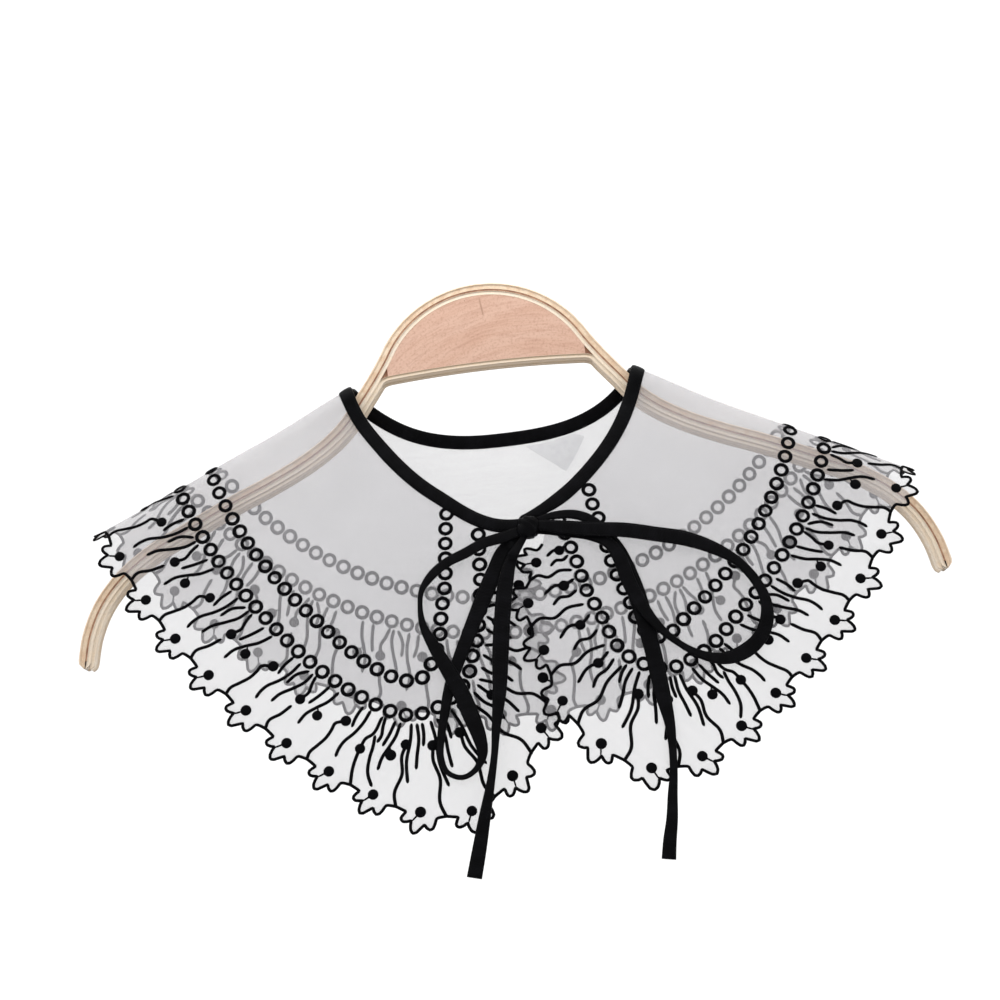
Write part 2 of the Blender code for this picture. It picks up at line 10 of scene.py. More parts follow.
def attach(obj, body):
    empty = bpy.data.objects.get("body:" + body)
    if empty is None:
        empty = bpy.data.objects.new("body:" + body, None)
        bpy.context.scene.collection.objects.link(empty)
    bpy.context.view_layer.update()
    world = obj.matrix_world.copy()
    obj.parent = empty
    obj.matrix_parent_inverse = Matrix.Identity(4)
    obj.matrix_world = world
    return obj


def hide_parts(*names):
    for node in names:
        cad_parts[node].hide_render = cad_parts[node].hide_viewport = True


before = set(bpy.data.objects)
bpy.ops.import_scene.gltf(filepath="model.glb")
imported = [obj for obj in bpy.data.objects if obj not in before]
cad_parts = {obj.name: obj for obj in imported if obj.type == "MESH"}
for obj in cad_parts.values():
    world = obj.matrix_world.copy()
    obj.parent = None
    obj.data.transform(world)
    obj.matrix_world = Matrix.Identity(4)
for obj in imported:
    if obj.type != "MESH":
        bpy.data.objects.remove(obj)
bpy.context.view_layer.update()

# Dressed lace collar on its bentwood hanger: organza, machine embroidery, satin and wood.
mm = 0.001


# Curves and numbers
def smoothThrough(places, values, where):
    # cubic through the values, slopes from the neighbours
    slopes = np.gradient(values, places)
    where = np.asarray(where, dtype=float)
    index = np.clip(np.searchsorted(places, where, side="right") - 1, 0, len(places) - 2)
    span = places[index + 1] - places[index]
    share = np.clip((where - places[index]) / span, 0.0, 1.0)
    square, cube = share**2, share**3
    return (
        (2 * cube - 3 * square + 1) * values[index]
        + (cube - 2 * square + share) * span * slopes[index]
        + (3 * square - 2 * cube) * values[index + 1]
        + (cube - square) * span * slopes[index + 1]
    )


def readTable(table, where):
    rows = np.array(table, dtype=float)
    return smoothThrough(rows[:, 0], rows[:, 1], where)


def lengthsAlong(line):
    steps = np.linalg.norm(np.diff(line, axis=0), axis=1)
    return np.concatenate([[0.0], np.cumsum(steps)])


def fromEnds(line):
    # distance along the line to its nearer end
    along = lengthsAlong(line)
    return np.minimum(along, along[-1] - along)


def readRows(where, places, rows):
    # the rows at the wanted places, column by column
    return np.stack([np.interp(where, places, column) for column in rows.T], axis=-1)


def evenlySpaced(line, count):
    along = lengthsAlong(line)
    return readRows(np.linspace(0.0, along[-1], count), along, line)


samplesPerPoint = 40  # of a smooth curve, before its points are spaced evenly


def curveThrough(points, count):
    points = np.array(points, dtype=float)
    places = lengthsAlong(points[:, :2])
    dense = np.linspace(0.0, places[-1], samplesPerPoint * len(points))
    curve = np.stack([smoothThrough(places, column, dense) for column in points.T], axis=-1)
    return evenlySpaced(curve, count)


def fade(value, start, end):
    share = np.clip((value - start) / (end - start), 0.0, 1.0)
    return share * share * (3 - 2 * share)


def hump(value, centre, half):
    return np.exp(-(((value - centre) / half) ** 2))


def unit(vectors):
    return vectors / np.linalg.norm(vectors, axis=-1)[..., None]


# The cloth as it hangs
hangValues = {
    "apex": (1.2, 0.0, -18.0),
    "foldLeft": 66.4,
    "foldRight": 62.8,
    "frontLean": 0.24,
    "backLean": 0.14,
    "shoulderLean": 0.13,
    "squareness": 4.0,
    "samples": 1440,
    "wall": 1.2,  # mm, room that the cloth and its embroidery share
    "softFoldEnd": 230.0,
    "softFolds": (
        # degrees from centre back, height, half width, distance where it starts
        (96, 2.6, 10, 120),
        (112, -1.8, 8, 130),
        (82, -1.6, 7, 150),
        (-90, 2.4, 9, 140),
        (-106, -1.6, 8, 130),
        (-4, -2.4, 5, 70),
        (26, 2.6, 11, 110),
        (-30, 2.8, 12, 110),
        (50, -1.8, 8, 140),
        (-50, -1.6, 8, 140),
    ),
    "overlapLift": 2.0,
    "overlapDegrees": (-127.0, -113.0),
    "armFullness": 2.9,
    "fullnessOff": 5.0,
    "fullnessHalf": 5.0,
    "fullnessFade": (80.0, 130.0),
    "creaseSway": (2.0, 21.0),  # degrees to each side, and mm along for one radian of it
    "creases": (
        # degrees, distance, height, half width across, half length along
        (106, 150, 0.7, 3.2, 34),
        (99, 128, -0.5, 2.4, 22),
        (117, 170, 0.6, 3.0, 30),
        (86, 175, -0.6, 2.6, 30),
        (74, 140, 0.5, 2.2, 26),
        (-82, 150, 0.7, 3.0, 30),
        (-94, 172, -0.6, 2.6, 32),
        (-101, 140, 0.5, 2.4, 26),
        (-72, 130, -0.5, 2.0, 24),
        (0.5, 150, -0.7, 1.2, 60),
        (14, 175, 0.6, 3.0, 34),
        (-17, 160, -0.6, 3.0, 34),
        (36, 165, 0.6, 3.2, 34),
        (-41, 172, 0.6, 3.2, 34),
        (58, 150, -0.5, 2.6, 30),
        (-60, 150, 0.5, 2.6, 30),
    ),
}


class HungCloth:
    # maps the flat cut to its hung shape and keeps lengths along the cloth
    def __init__(self, values):
        self.values = values
        turn = np.linspace(-math.pi, math.pi, values["samples"])
        side, ahead = np.sin(turn), np.cos(turn)
        power = 2.0 / values["squareness"]
        spread = np.sign(side) * np.abs(side) ** power
        swing = np.radians(spread * np.where(side > 0, values["foldRight"], values["foldLeft"]))
        lean = np.where(ahead > 0, values["frontLean"], values["backLean"])
        lean = lean * (1 - spread**2) * np.cos(swing) + values["shoulderLean"] * spread**2
        pitch = np.arctan(lean * np.sign(ahead) * np.abs(ahead) ** power)
        self.directions = np.stack(
            [np.cos(pitch) * np.sin(swing), -np.sin(pitch), -np.cos(pitch) * np.cos(swing)], axis=-1
        )
        around = lengthsAlong(self.directions)
        self.around = around - np.interp(0.0, turn, around)
        along = np.gradient(self.directions, self.around, axis=0)
        self.normals = unit(np.cross(self.directions, along))
        front = self.directions[:, 1] < 0
        if self.normals[front, 1].mean() > 0:
            self.normals = -self.normals
        left, right = np.interp((-math.pi / 2, math.pi / 2), turn, self.around)
        self.folds = np.degrees((left - self.around[0], right - self.around[-1]))

    def softRise(self, distance, degrees):
        v = self.values
        rise = np.zeros_like(distance)
        for centre, height, half, start in v["softFolds"]:
            across = hump(degrees, centre, half)
            rise += height * mm * across * fade(distance, start * mm, v["softFoldEnd"] * mm)
        nearEdge = 1 - fade(degrees, *v["overlapDegrees"])
        rise += np.where(degrees < 0, v["overlapLift"] * mm * nearEdge, 0.0)
        nearNeck = 1 - fade(distance, v["fullnessFade"][0] * mm, v["fullnessFade"][1] * mm)
        for fold in self.folds:
            off = np.abs(degrees - fold) - v["fullnessOff"]
            rise += v["armFullness"] * mm * nearNeck * hump(off, 0.0, v["fullnessHalf"])
        return rise

    def creaseRise(self, distance, degrees):
        # fine creases that the solids leave out
        rise = np.zeros_like(distance)
        sideways, wave = self.values["creaseSway"]
        for centre, middle, height, half, reach in self.values["creases"]:
            sway = centre + sideways * np.sin(distance / mm / wave + centre)
            rise += height * mm * hump(degrees, sway, half) * hump(distance / mm, middle, reach)
        return rise

    def directionAt(self, around):
        return readRows(around, self.around, self.directions)

    def normalAt(self, around):
        return unit(readRows(around, self.around, self.normals))

    def hang(self, flat, lift=0.0):
        flat = np.asarray(flat, dtype=float)
        x, y = flat[..., 0], flat[..., 1]
        distance = np.hypot(x, y)
        angle = np.arctan2(x, y)
        around = np.where(angle > 0, self.around[0] + angle, self.around[-1] + angle)
        direction, normal = self.directionAt(around), self.normalAt(around)
        degrees = np.degrees(angle)
        rise = lift + self.softRise(distance, degrees) + self.creaseRise(distance, degrees)
        apex = np.array(self.values["apex"]) * mm
        return apex + direction * distance[..., None] + normal * rise[..., None]

    def faceOut(self, flat):
        return unit(self.hang(flat, mm) - self.hang(flat, 0.0))

    def frontDepth(self, x, z):
        # depth and normal of the front's outer face at places seen from ahead
        v = self.values
        across, down = x - v["apex"][0] * mm, v["apex"][2] * mm - z
        swing = np.arctan2(across, down)
        front = self.directions[:, 1] < 0
        swings = np.arctan2(self.directions[front, 0], -self.directions[front, 2])
        order = np.argsort(swings)
        around = np.interp(swing, swings[order], self.around[front][order])
        direction, normal = self.directionAt(around), self.normalAt(around)
        distance = np.hypot(across, down) / np.hypot(direction[..., 0], direction[..., 2])
        fromBack = around - np.where(around < 0, self.around[0], self.around[-1])
        rise = self.softRise(distance, np.degrees(fromBack)) + v["wall"] * mm
        return direction[..., 1] * distance + normal[..., 1] * rise, normal


cloth = HungCloth(hangValues)
wall = hangValues["wall"] * mm


# Shader wiring
class Wire:
    # a socket whose arithmetic adds Math nodes
    def __init__(self, shade, socket):
        self.shade, self.socket = shade, socket

    def math(self, operation, *values):
        return self.shade.node("ShaderNodeMath", {"operation": operation}, dict(enumerate(values)))

    def __add__(self, other):
        return self.math("ADD", self, other)

    __radd__ = __add__

    def __sub__(self, other):
        return self.math("SUBTRACT", self, other)

    def __rsub__(self, other):
        return self.math("SUBTRACT", other, self)

    def __mul__(self, other):
        return self.math("MULTIPLY", self, other)

    def sine(self):
        return self.math("SINE", self)

    def size(self):
        return self.math("ABSOLUTE", self)

    def power(self, other):
        return self.math("POWER", self, other)

    def step(self, low, high):
        settings = {"interpolation_type": "SMOOTHSTEP"}
        return self.shade.node("ShaderNodeMapRange", settings, {"Value": self, 1: low, 2: high})


class Shade:
    # one material; node() takes a type, its settings, then the values or links of its sockets
    def __init__(self, name, colour, roughness, **constants):
        self.material = bpy.data.materials.new(name)
        self.material.use_nodes = True
        self.tree = self.material.node_tree
        self.surface = self.tree.nodes["Principled BSDF"]
        self.surfaceTakes(Base_Color=(*colour, 1.0), Roughness=roughness, **constants)

    def put(self, node, values):
        for socket, value in values.items():
            if isinstance(value, Wire):
                self.tree.links.new(value.socket, node.inputs[socket])
            else:
                node.inputs[socket].default_value = value

    def node(self, kind, settings=None, values=None, out=0):
        node = self.tree.nodes.new(kind)
        for setting, value in (settings or {}).items():
            setattr(node, setting, value)
        self.put(node, values or {})
        return Wire(self, node.outputs[out])

    def surfaceTakes(self, **values):
        self.put(self.surface, {name.replace("_", " "): value for name, value in values.items()})

    def split(self, vector):
        parts = self.node("ShaderNodeSeparateXYZ", None, {0: vector}).socket.node
        return [Wire(self, output) for output in parts.outputs]

    def uv(self, name):
        return self.split(self.node("ShaderNodeUVMap", {"uv_map": name}))[:2]

    def attribute(self, name):
        return self.node("ShaderNodeAttribute", {"attribute_name": name}, None, "Fac")

    def place(self):
        return self.node("ShaderNodeTexCoord", None, None, "Object")

    def vector(self, x=0.0, y=0.0, z=0.0):
        return self.node("ShaderNodeCombineXYZ", None, {0: x, 1: y, 2: z})

    def noise(self, where, scale, detail=3.0, roughness=0.55):
        values = {"Vector": where, "Scale": scale, "Detail": detail, "Roughness": roughness}
        return self.node("ShaderNodeTexNoise", None, values)

    def mix(self, share, first, second):
        first, second = (
            colour if isinstance(colour, Wire) else (*colour, 1.0) for colour in (first, second)
        )
        return self.node("ShaderNodeMix", {"data_type": "RGBA"}, {0: share, 6: first, 7: second}, 2)

    def bump(self, height, distance, strength=1.0):
        values = {"Height": height, "Distance": distance, "Strength": strength}
        self.surfaceTakes(Normal=self.node("ShaderNodeBump", None, values))


# Finishes
organzaLook = {
    "colour": (0.515, 0.505, 0.525),
    "thin": (0.475, 0.465, 0.485),
    "dense": (0.555, 0.545, 0.565),
    "sheen": {"Sheen_Weight": 0.25, "Sheen_Roughness": 0.4},
    "base": 0.42,  # roughness before the noise, in this and the next tables
    "alpha": 0.268,
    "alphaShares": {"weave": 0.03, "cloud": 0.07, "slub": 0.04},
    "threadsPerUnit": 1350.0,  # weave threads across the half metre of the UV square
    "cloudScale": 9.0,
    "slubScales": (9.0, 260.0),
    "toneStep": (0.35, 0.7),
    "roughness": (0.36, 0.16),  # least, and what the noise adds
    "cloudHeight": 6.0,
    "bump": (0.00006, 0.6),  # metres, strength
}
threadLook = {
    "colour": (0.0014, 0.0014, 0.0019),
    # painted sheen colour on the crest of each stitch
    "paintedSheen": (0.004, 0.004, 0.005),
    "base": 0.6,
    "specular": 0.03,
    "stitchesPerMetre": 2300.0,
    "fibreScale": 1500.0,
    "uneven": 1.6,
    # where along each stitch the painted sheen lies
    "stitchSheenStep": (-0.7, 0.7),
    "roughness": (0.5, 0.2),
    "fibreHeight": 0.5,
    "bump": (0.00012, 0.8),
}
satinLook = {
    "colour": (0.0014, 0.0014, 0.0019),
    # painted sheen colour on the puckered ridges
    "paintedSheen": (0.0038, 0.0038, 0.005),
    "base": 0.4,
    "specular": 0.05,
    "twillPerMetre": 2600.0,
    "twillSlant": 0.012,
    "puckerScales": (150.0, 2.0),
    "puckerSheenStep": (0.35, 0.75),
    "hems": (0.135, 0.365),  # shares of the way round the strip where its edges are sewn down
    "hemSharpness": 28.0,
    "stitchesPerMetre": 1150.0,
    "stitchStep": (-0.2, 0.5),
    "roughness": (0.34, 0.18),
    "heights": {"twill": 0.25, "pucker": 2.6, "hem": 1.8, "stitch": 1.6},
    "bump": (0.00016, 0.8),
}
filmLook = {
    "colour": (0.80, 0.80, 0.82),
    "base": 0.35,
    "hazeScale": 160.0,
    "alpha": (0.34, 0.14),
    "roughness": (0.25, 0.2),
    "bump": (0.0002, 0.5),
}
woodLook = {
    "pale": (0.76, 0.53, 0.35),
    "cream": (0.90, 0.74, 0.56),
    "inner": (0.84, 0.73, 0.60),
    "tan": (0.52, 0.355, 0.22),
    # painted shade colour for faces that look down
    "under": (0.40, 0.29, 0.19),
    "pore": (0.30, 0.15, 0.09),
    "base": 0.45,
    # scales along and across the grain, then detail
    "fibre": (26.0, 9.0, 5.0),
    "streak": (70.0, 46.0, 3.0),
    "pores": (420.0, 60.0, 2.0),
    "fibreStep": (0.3, 0.72),
    "streakStep": (0.45, 0.8),
    "poreStep": (0.66, 0.75),
    # how far down a face must look to take the painted shade
    "underStep": (0.35, 0.75),
    "shares": {"streak": 0.4, "pores": 0.35, "under": 0.85},
    "roughness": (0.40, 0.2),
    "heights": {"streak": 0.6, "pores": 1.5},
    "bump": (0.0001, 0.6),
}
glueLook = {
    "colour": (0.30, 0.135, 0.075),
    "worn": (0.50, 0.27, 0.16),
    "base": 0.5,
    "scale": 220.0,
    "wornStep": (0.35, 0.7),
    "roughness": (0.45, 0.2),
    "bump": (0.0001, 0.5),
}
plateLook = {
    "colour": (0.66, 0.405, 0.295),
    "dark": (0.43, 0.215, 0.145),
    "light": (0.73, 0.48, 0.365),
    "base": 0.55,
    "heart": (0.018, -0.115),  # the growth rings lie about this point, below the plate
    "warp": (35.0, 0.0025),
    "arcs": (900.0, 8.0, 60.0),  # scales outward, round and through the board
    "broad": (130.0, 2.0, 20.0),
    "fleckScale": 900.0,
    "poreScale": 240.0,
    "patchScale": 60.0,
    "broadStep": (0.3, 0.7),
    "arcStep": (0.42, 0.7),
    "fleckStep": (0.45, 0.75),
    "poreStep": (0.03, 0.13),
    "patchStep": (0.54, 0.66),
    "shares": {"arcs": 0.3, "fleck": 0.4, "pores": 0.8, "check": 0.6},
    "checkLine": (0.0005, -0.011, 0.12),  # where the short dark check stands, and its slant
    "checkMiddle": -0.0125,
    "checkSharpness": (1300.0, 170.0),  # across and along
    "checkFade": (0.1, 0.6),
    "roughness": (0.5, 0.15),
    "heights": {"arcs": 1.2, "fleck": 0.6, "pores": 2.0},
    "bump": (0.00012, 0.7),
}


def varied(pair, noise):
    least, more = pair
    return least + noise * more


def organzaShade():
    look = organzaLook
    shade = Shade("sheerOrganza", look["colour"], look["base"], **look["sheen"])
    across, along = shade.uv("flatCut")
    warp, weft = ((way * look["threadsPerUnit"] * math.pi).sine() for way in (across, along))
    weave = warp * weft
    cloud = shade.noise(shade.vector(across, along), look["cloudScale"], 4.0)
    slubX, slubY = look["slubScales"]
    slub = shade.noise(shade.vector(across * slubX, along * slubY), 1.0, 2.0)
    shares = look["alphaShares"]
    alpha = look["alpha"] + weave.size() * shares["weave"]
    alpha = alpha + (cloud - 0.5) * shares["cloud"] + (slub - 0.5) * shares["slub"]
    tone = shade.mix(cloud.step(*look["toneStep"]), look["thin"], look["dense"])
    shade.surfaceTakes(Base_Color=tone, Alpha=alpha, Roughness=varied(look["roughness"], cloud))
    shade.bump(weave + (cloud - 0.5) * look["cloudHeight"], *look["bump"])
    shade.material.surface_render_method = "BLENDED"
    return shade.material


def threadShade():
    look = threadLook
    shade = Shade("embroideryThread", look["colour"], look["base"], Specular_IOR_Level=look["specular"])
    along = shade.attribute("along")
    fibre = shade.noise(shade.place(), look["fibreScale"], 2.0)
    stitch = (along * look["stitchesPerMetre"] * math.pi + fibre * look["uneven"]).sine()
    # painted sheen: each stitch is lighter along its crest
    tone = shade.mix(stitch.step(*look["stitchSheenStep"]), look["colour"], look["paintedSheen"])
    shade.surfaceTakes(Base_Color=tone, Roughness=varied(look["roughness"], fibre))
    shade.bump(stitch + fibre * look["fibreHeight"], *look["bump"])
    return shade.material


def satinShade():
    look = satinLook
    shade = Shade("blackSatin", look["colour"], look["base"], Specular_IOR_Level=look["specular"])
    across, along = shade.uv("strip")
    twill = ((along + across * look["twillSlant"]) * look["twillPerMetre"] * math.pi).sine()
    puckerX, puckerY = look["puckerScales"]
    pucker = shade.noise(shade.vector(along * puckerX, across * puckerY), 1.0, 3.0)
    first, second = (
        (1.0 - (across - place).size() * look["hemSharpness"]).step(0.0, 1.0) for place in look["hems"]
    )
    hem = first + second
    stitches = hem * (along * look["stitchesPerMetre"] * math.pi).sine().step(*look["stitchStep"])
    # painted sheen: the puckered ridges of the satin are lighter
    tone = shade.mix(pucker.step(*look["puckerSheenStep"]), look["colour"], look["paintedSheen"])
    shade.surfaceTakes(Base_Color=tone, Roughness=varied(look["roughness"], pucker))
    high = look["heights"]
    relief = twill * high["twill"] + pucker * high["pucker"] - hem * high["hem"] + stitches * high["stitch"]
    shade.bump(relief, *look["bump"])
    return shade.material


def filmShade():
    look = filmLook
    shade = Shade("labelFilm", look["colour"], look["base"])
    haze = shade.noise(shade.place(), look["hazeScale"], 3.0)
    shade.surfaceTakes(Alpha=varied(look["alpha"], haze), Roughness=varied(look["roughness"], haze))
    shade.bump(haze, *look["bump"])
    shade.material.surface_render_method = "BLENDED"
    return shade.material


def plyShade(name, light, dark):
    look, shares, high = woodLook, woodLook["shares"], woodLook["heights"]
    shade = Shade(name, light, look["base"])
    across, along = shade.uv("grain")

    def grain(kind, roughness=0.55):
        alongScale, acrossScale, detail = look[kind]
        return shade.noise(shade.vector(along * alongScale, across * acrossScale), 1.0, detail, roughness)

    fibre, streak = grain("fibre", 0.6), grain("streak")
    pores = grain("pores").step(*look["poreStep"])
    tone = shade.mix(fibre.step(*look["fibreStep"]), light, dark)
    tone = shade.mix(streak.step(*look["streakStep"]) * shares["streak"], tone, look["tan"])
    tone = shade.mix(pores * shares["pores"], tone, look["pore"])
    # painted shade: faces that look down are mixed towards a darker, greyer colour
    facing = shade.split(shade.node("ShaderNodeNewGeometry", None, None, "Normal"))
    under = (0.0 - facing[2]).step(*look["underStep"])
    tone = shade.mix(under * shares["under"], tone, look["under"])
    shade.surfaceTakes(Base_Color=tone, Roughness=varied(look["roughness"], fibre))
    shade.bump(fibre + streak * high["streak"] - pores * high["pores"], *look["bump"])
    return shade.material


def glueShade():
    look = glueLook
    shade = Shade("brownGlue", look["colour"], look["base"])
    worn = shade.noise(shade.place(), look["scale"], 3.0)
    tone = shade.mix(worn.step(*look["wornStep"]), look["colour"], look["worn"])
    shade.surfaceTakes(Base_Color=tone, Roughness=varied(look["roughness"], worn))
    shade.bump(worn, *look["bump"])
    return shade.material


def plateShade():
    look, shares, high = plateLook, plateLook["shares"], plateLook["heights"]
    shade = Shade("peachPlateWood", look["colour"], look["base"])
    where = shade.place()
    x, y, z = shade.split(where)
    right, up = x - look["heart"][0], z - look["heart"][1]
    radius = (right * right + up * up).power(0.5)
    angle = shade.node("ShaderNodeMath", {"operation": "ARCTAN2"}, {0: right, 1: up})
    warpScale, warpReach = look["warp"]
    warped = radius + shade.noise(where, warpScale, 3.0) * warpReach

    def rings(kind, roughness=0.55):
        outward, around, through = look[kind]
        return shade.noise(shade.vector(warped * outward, angle * around, y * through), 1.0, 3.0, roughness)

    arcs, broad = rings("arcs", 0.6), rings("broad")
    fleck = shade.noise(where, look["fleckScale"], 2.0)
    values = {"Vector": where, "Scale": look["poreScale"], "Randomness": 1.0}
    pores = shade.node("ShaderNodeTexVoronoi", None, values)
    patches = shade.noise(where, look["patchScale"], 1.0).step(*look["patchStep"])
    pores = (1.0 - pores.step(*look["poreStep"])) * patches
    tone = shade.mix(broad.step(*look["broadStep"]), look["colour"], look["light"])
    tone = shade.mix(arcs.step(*look["arcStep"]) * shares["arcs"], tone, look["dark"])
    tone = shade.mix(fleck.step(*look["fleckStep"]) * shares["fleck"], tone, look["dark"])
    tone = shade.mix(pores * shares["pores"], tone, woodLook["pore"])
    # one short dark check under the crest
    checkX, checkZ, slant = look["checkLine"]
    thin, short = look["checkSharpness"]
    check = (1.0 - ((x - checkX) + (z - checkZ) * slant).size() * thin).step(0.0, 1.0)
    check = check * (1.0 - (z - look["checkMiddle"]).size() * short).step(0.0, 0.5)
    check = check * broad.step(*look["checkFade"])
    tone = shade.mix(check * shares["check"], tone, woodLook["pore"])
    shade.surfaceTakes(Base_Color=tone, Roughness=varied(look["roughness"], fleck))
    shade.bump(arcs * high["arcs"] + fleck * high["fleck"] - pores * high["pores"], *look["bump"])
    return shade.material


def stageShade():
    shade = Shade("paleStage", (0.93, 0.93, 0.93), 0.75)
    shade.surfaceTakes(Roughness=varied((0.7, 0.1), shade.noise(shade.place(), 2.0, 2.0)))
    return shade.material


organza, thread, satin, film = organzaShade(), threadShade(), satinShade(), filmShade()
outerWood = plyShade("palePlyWood", woodLook["cream"], woodLook["pale"])
innerWood = plyShade("creamPlyWood", woodLook["inner"], woodLook["cream"])
print("finishes made")


# Meshes
def makeObject(name, mesh, material=None):
    thing = bpy.data.objects.new(name, mesh)
    bpy.context.scene.collection.objects.link(thing)
    if material:
        mesh.materials.append(material)
    return thing


def sweep(name, sections, alongs, material, uvName="strip", smooth=True):
    # closed skin through rings of points; the UV runs round the ring and along the path
    skin = bmesh.new()
    layer = skin.loops.layers.uv.new(uvName)
    count = sections.shape[1]
    rings = [[skin.verts.new(point) for point in section] for section in sections]
    for row in range(len(rings) - 1):
        for side in range(count):
            after = (side + 1) % count
            corners = (rings[row][side], rings[row][after], rings[row + 1][after], rings[row + 1][side])
            face = skin.faces.new(corners)
            marks = ((side, row), (side + 1, row), (side + 1, row + 1), (side, row + 1))
            for loop, (turn, step) in zip(face.loops, marks):
                loop[layer].uv = (turn / count, alongs[step])
            face.smooth = smooth
    for ring, step in ((rings[0][::-1], 0), (rings[-1], -1)):
        centre = skin.verts.new(np.mean([vert.co for vert in ring], axis=0))
        for side in range(count):
            face = skin.faces.new((ring[side], ring[(side + 1) % count], centre))
            for loop in face.loops:
                loop[layer].uv = (side / count, alongs[step])
            face.smooth = smooth
    bmesh.ops.recalc_face_normals(skin, faces=skin.faces)
    mesh = bpy.data.meshes.new(name)
    skin.to_mesh(mesh)
    skin.free()
    return makeObject(name, mesh, material)


def rounded(count, power):
    # unit ring, squarer as the power rises
    turn = np.linspace(0, 2 * math.pi, count, endpoint=False)
    across, deep = np.cos(turn), np.sin(turn)
    return (
        np.sign(across) * np.abs(across) ** (2 / power),
        np.sign(deep) * np.abs(deep) ** (2 / power),
    )


# Geometry Nodes
class Garden:
    # one geometry tree with named inputs
    def __init__(self, name, inputs):
        self.tree = bpy.data.node_groups.new(name, "GeometryNodeTree")
        kinds = {"Path": "NodeSocketGeometry"}
        kinds.update({label: kind for label, kind, value in inputs})
        self.sockets = {}
        for label, kind in kinds.items():
            self.sockets[label] = self.tree.interface.new_socket(label, in_out="INPUT", socket_type=kind)
        for label, kind, value in inputs:
            if value is not None:
                self.sockets[label].default_value = value
        self.tree.interface.new_socket("Geometry", in_out="OUTPUT", socket_type="NodeSocketGeometry")
        self.inside = self.tree.nodes.new("NodeGroupInput")
        self.values = {label: value for label, kind, value in inputs}

    def given(self, label):
        return self.inside.outputs[label]

    def node(self, kind, settings=None, values=None, out=0):
        node = self.tree.nodes.new(kind)
        for setting, value in (settings or {}).items():
            setattr(node, setting, value)
        for socket, value in (values or {}).items():
            if isinstance(value, bpy.types.NodeSocket):
                self.tree.links.new(value, node.inputs[socket])
            else:
                node.inputs[socket].default_value = value
        return node.outputs[out]

    def named(self, name, kind="FLOAT_VECTOR"):
        return self.node("GeometryNodeInputNamedAttribute", {"data_type": kind}, {"Name": name})

    def finish(self, geometry):
        whole = self.node("GeometryNodeRealizeInstances", None, {0: geometry})
        dressed = self.node("GeometryNodeSetMaterial", None, {0: whole, "Material": self.given("Thread")})
        end = self.tree.nodes.new("NodeGroupOutput")
        self.tree.links.new(dressed, end.inputs[0])

    def grow(self, name, mesh, material):
        # runs the tree on a mesh and keeps the result as a plain one
        thing = makeObject(name, mesh)
        modifier = thing.modifiers.new("Grown", "NODES")
        modifier.node_group = self.tree
        for label, value in self.values.items():
            modifier[self.sockets[label].identifier] = material if label == "Thread" else value
        thing.update_tag()
        graph = bpy.context.evaluated_depsgraph_get()
        grown = bpy.data.meshes.new_from_object(thing.evaluated_get(graph), depsgraph=graph)
        thing.modifiers.clear()
        thing.data = grown
        grown.name = name
        bpy.data.meshes.remove(mesh)
        return thing


def swept(name, values):
    # flattened cord along each path, lying on the cloth
    inputs = [
        ("Half width", "NodeSocketFloat", values["halfWidth"] * mm),
        ("Half height", "NodeSocketFloat", values["halfHeight"] * mm),
        ("Sides", "NodeSocketInt", values["sides"]),
        ("Thread", "NodeSocketMaterial", None),
    ]
    bed = Garden(name, inputs)
    line = bed.node("GeometryNodeMeshToCurve", None, {0: bed.given("Path")})
    far = bed.node("GeometryNodeSplineParameter", None, None, "Length")
    line = bed.node(
        "GeometryNodeStoreNamedAttribute", {"data_type": "FLOAT"}, {0: line, "Name": "along", "Value": far}
    )
    line = bed.node(
        "GeometryNodeSetCurveNormal", {"mode": "FREE"}, {0: line, "Normal": bed.named("facing")}
    )
    circle = {"Resolution": bed.given("Sides"), "Radius": 1.0}
    ring = bed.node("GeometryNodeCurvePrimitiveCircle", None, circle)
    shape = bed.node(
        "ShaderNodeCombineXYZ", None, {0: bed.given("Half height"), 1: bed.given("Half width"), 2: 1.0}
    )
    ring = bed.node("GeometryNodeTransform", None, {0: ring, "Scale": shape})
    cord = bed.node(
        "GeometryNodeCurveToMesh",
        None,
        {0: line, 1: ring, "Scale": bed.named("fatness", "FLOAT"), "Fill Caps": True},
    )
    cord = bed.node("GeometryNodeSetShadeSmooth", None, {0: cord})
    bed.finish(cord)
    return bed


def strewn(name, values, build):
    # one small shape at each point, its back on the cloth
    inputs = [(label, "NodeSocketFloat", value) for label, value in values.items() if label != "Seed"]
    inputs += [("Seed", "NodeSocketInt", values["Seed"]), ("Thread", "NodeSocketMaterial", None)]
    bed = Garden(name, inputs)
    shape = build(bed)
    points = bed.node("GeometryNodeMeshToPoints", None, {0: bed.given("Path")})
    turned = bed.node(
        "FunctionNodeAxesToRotation",
        {"primary_axis": "Z", "secondary_axis": "X"},
        {0: bed.named("facing"), 1: bed.named("heading")},
    )
    spread = bed.node(
        "FunctionNodeRandomValue",
        {"data_type": "FLOAT"},
        {2: bed.given("Least"), 3: bed.given("Most"), "Seed": bed.given("Seed")},
        1,
    )
    placed = bed.node(
        "GeometryNodeInstanceOnPoints",
        None,
        {0: points, "Instance": shape, "Rotation": turned, "Scale": spread},
    )
    bed.finish(placed)
    return bed


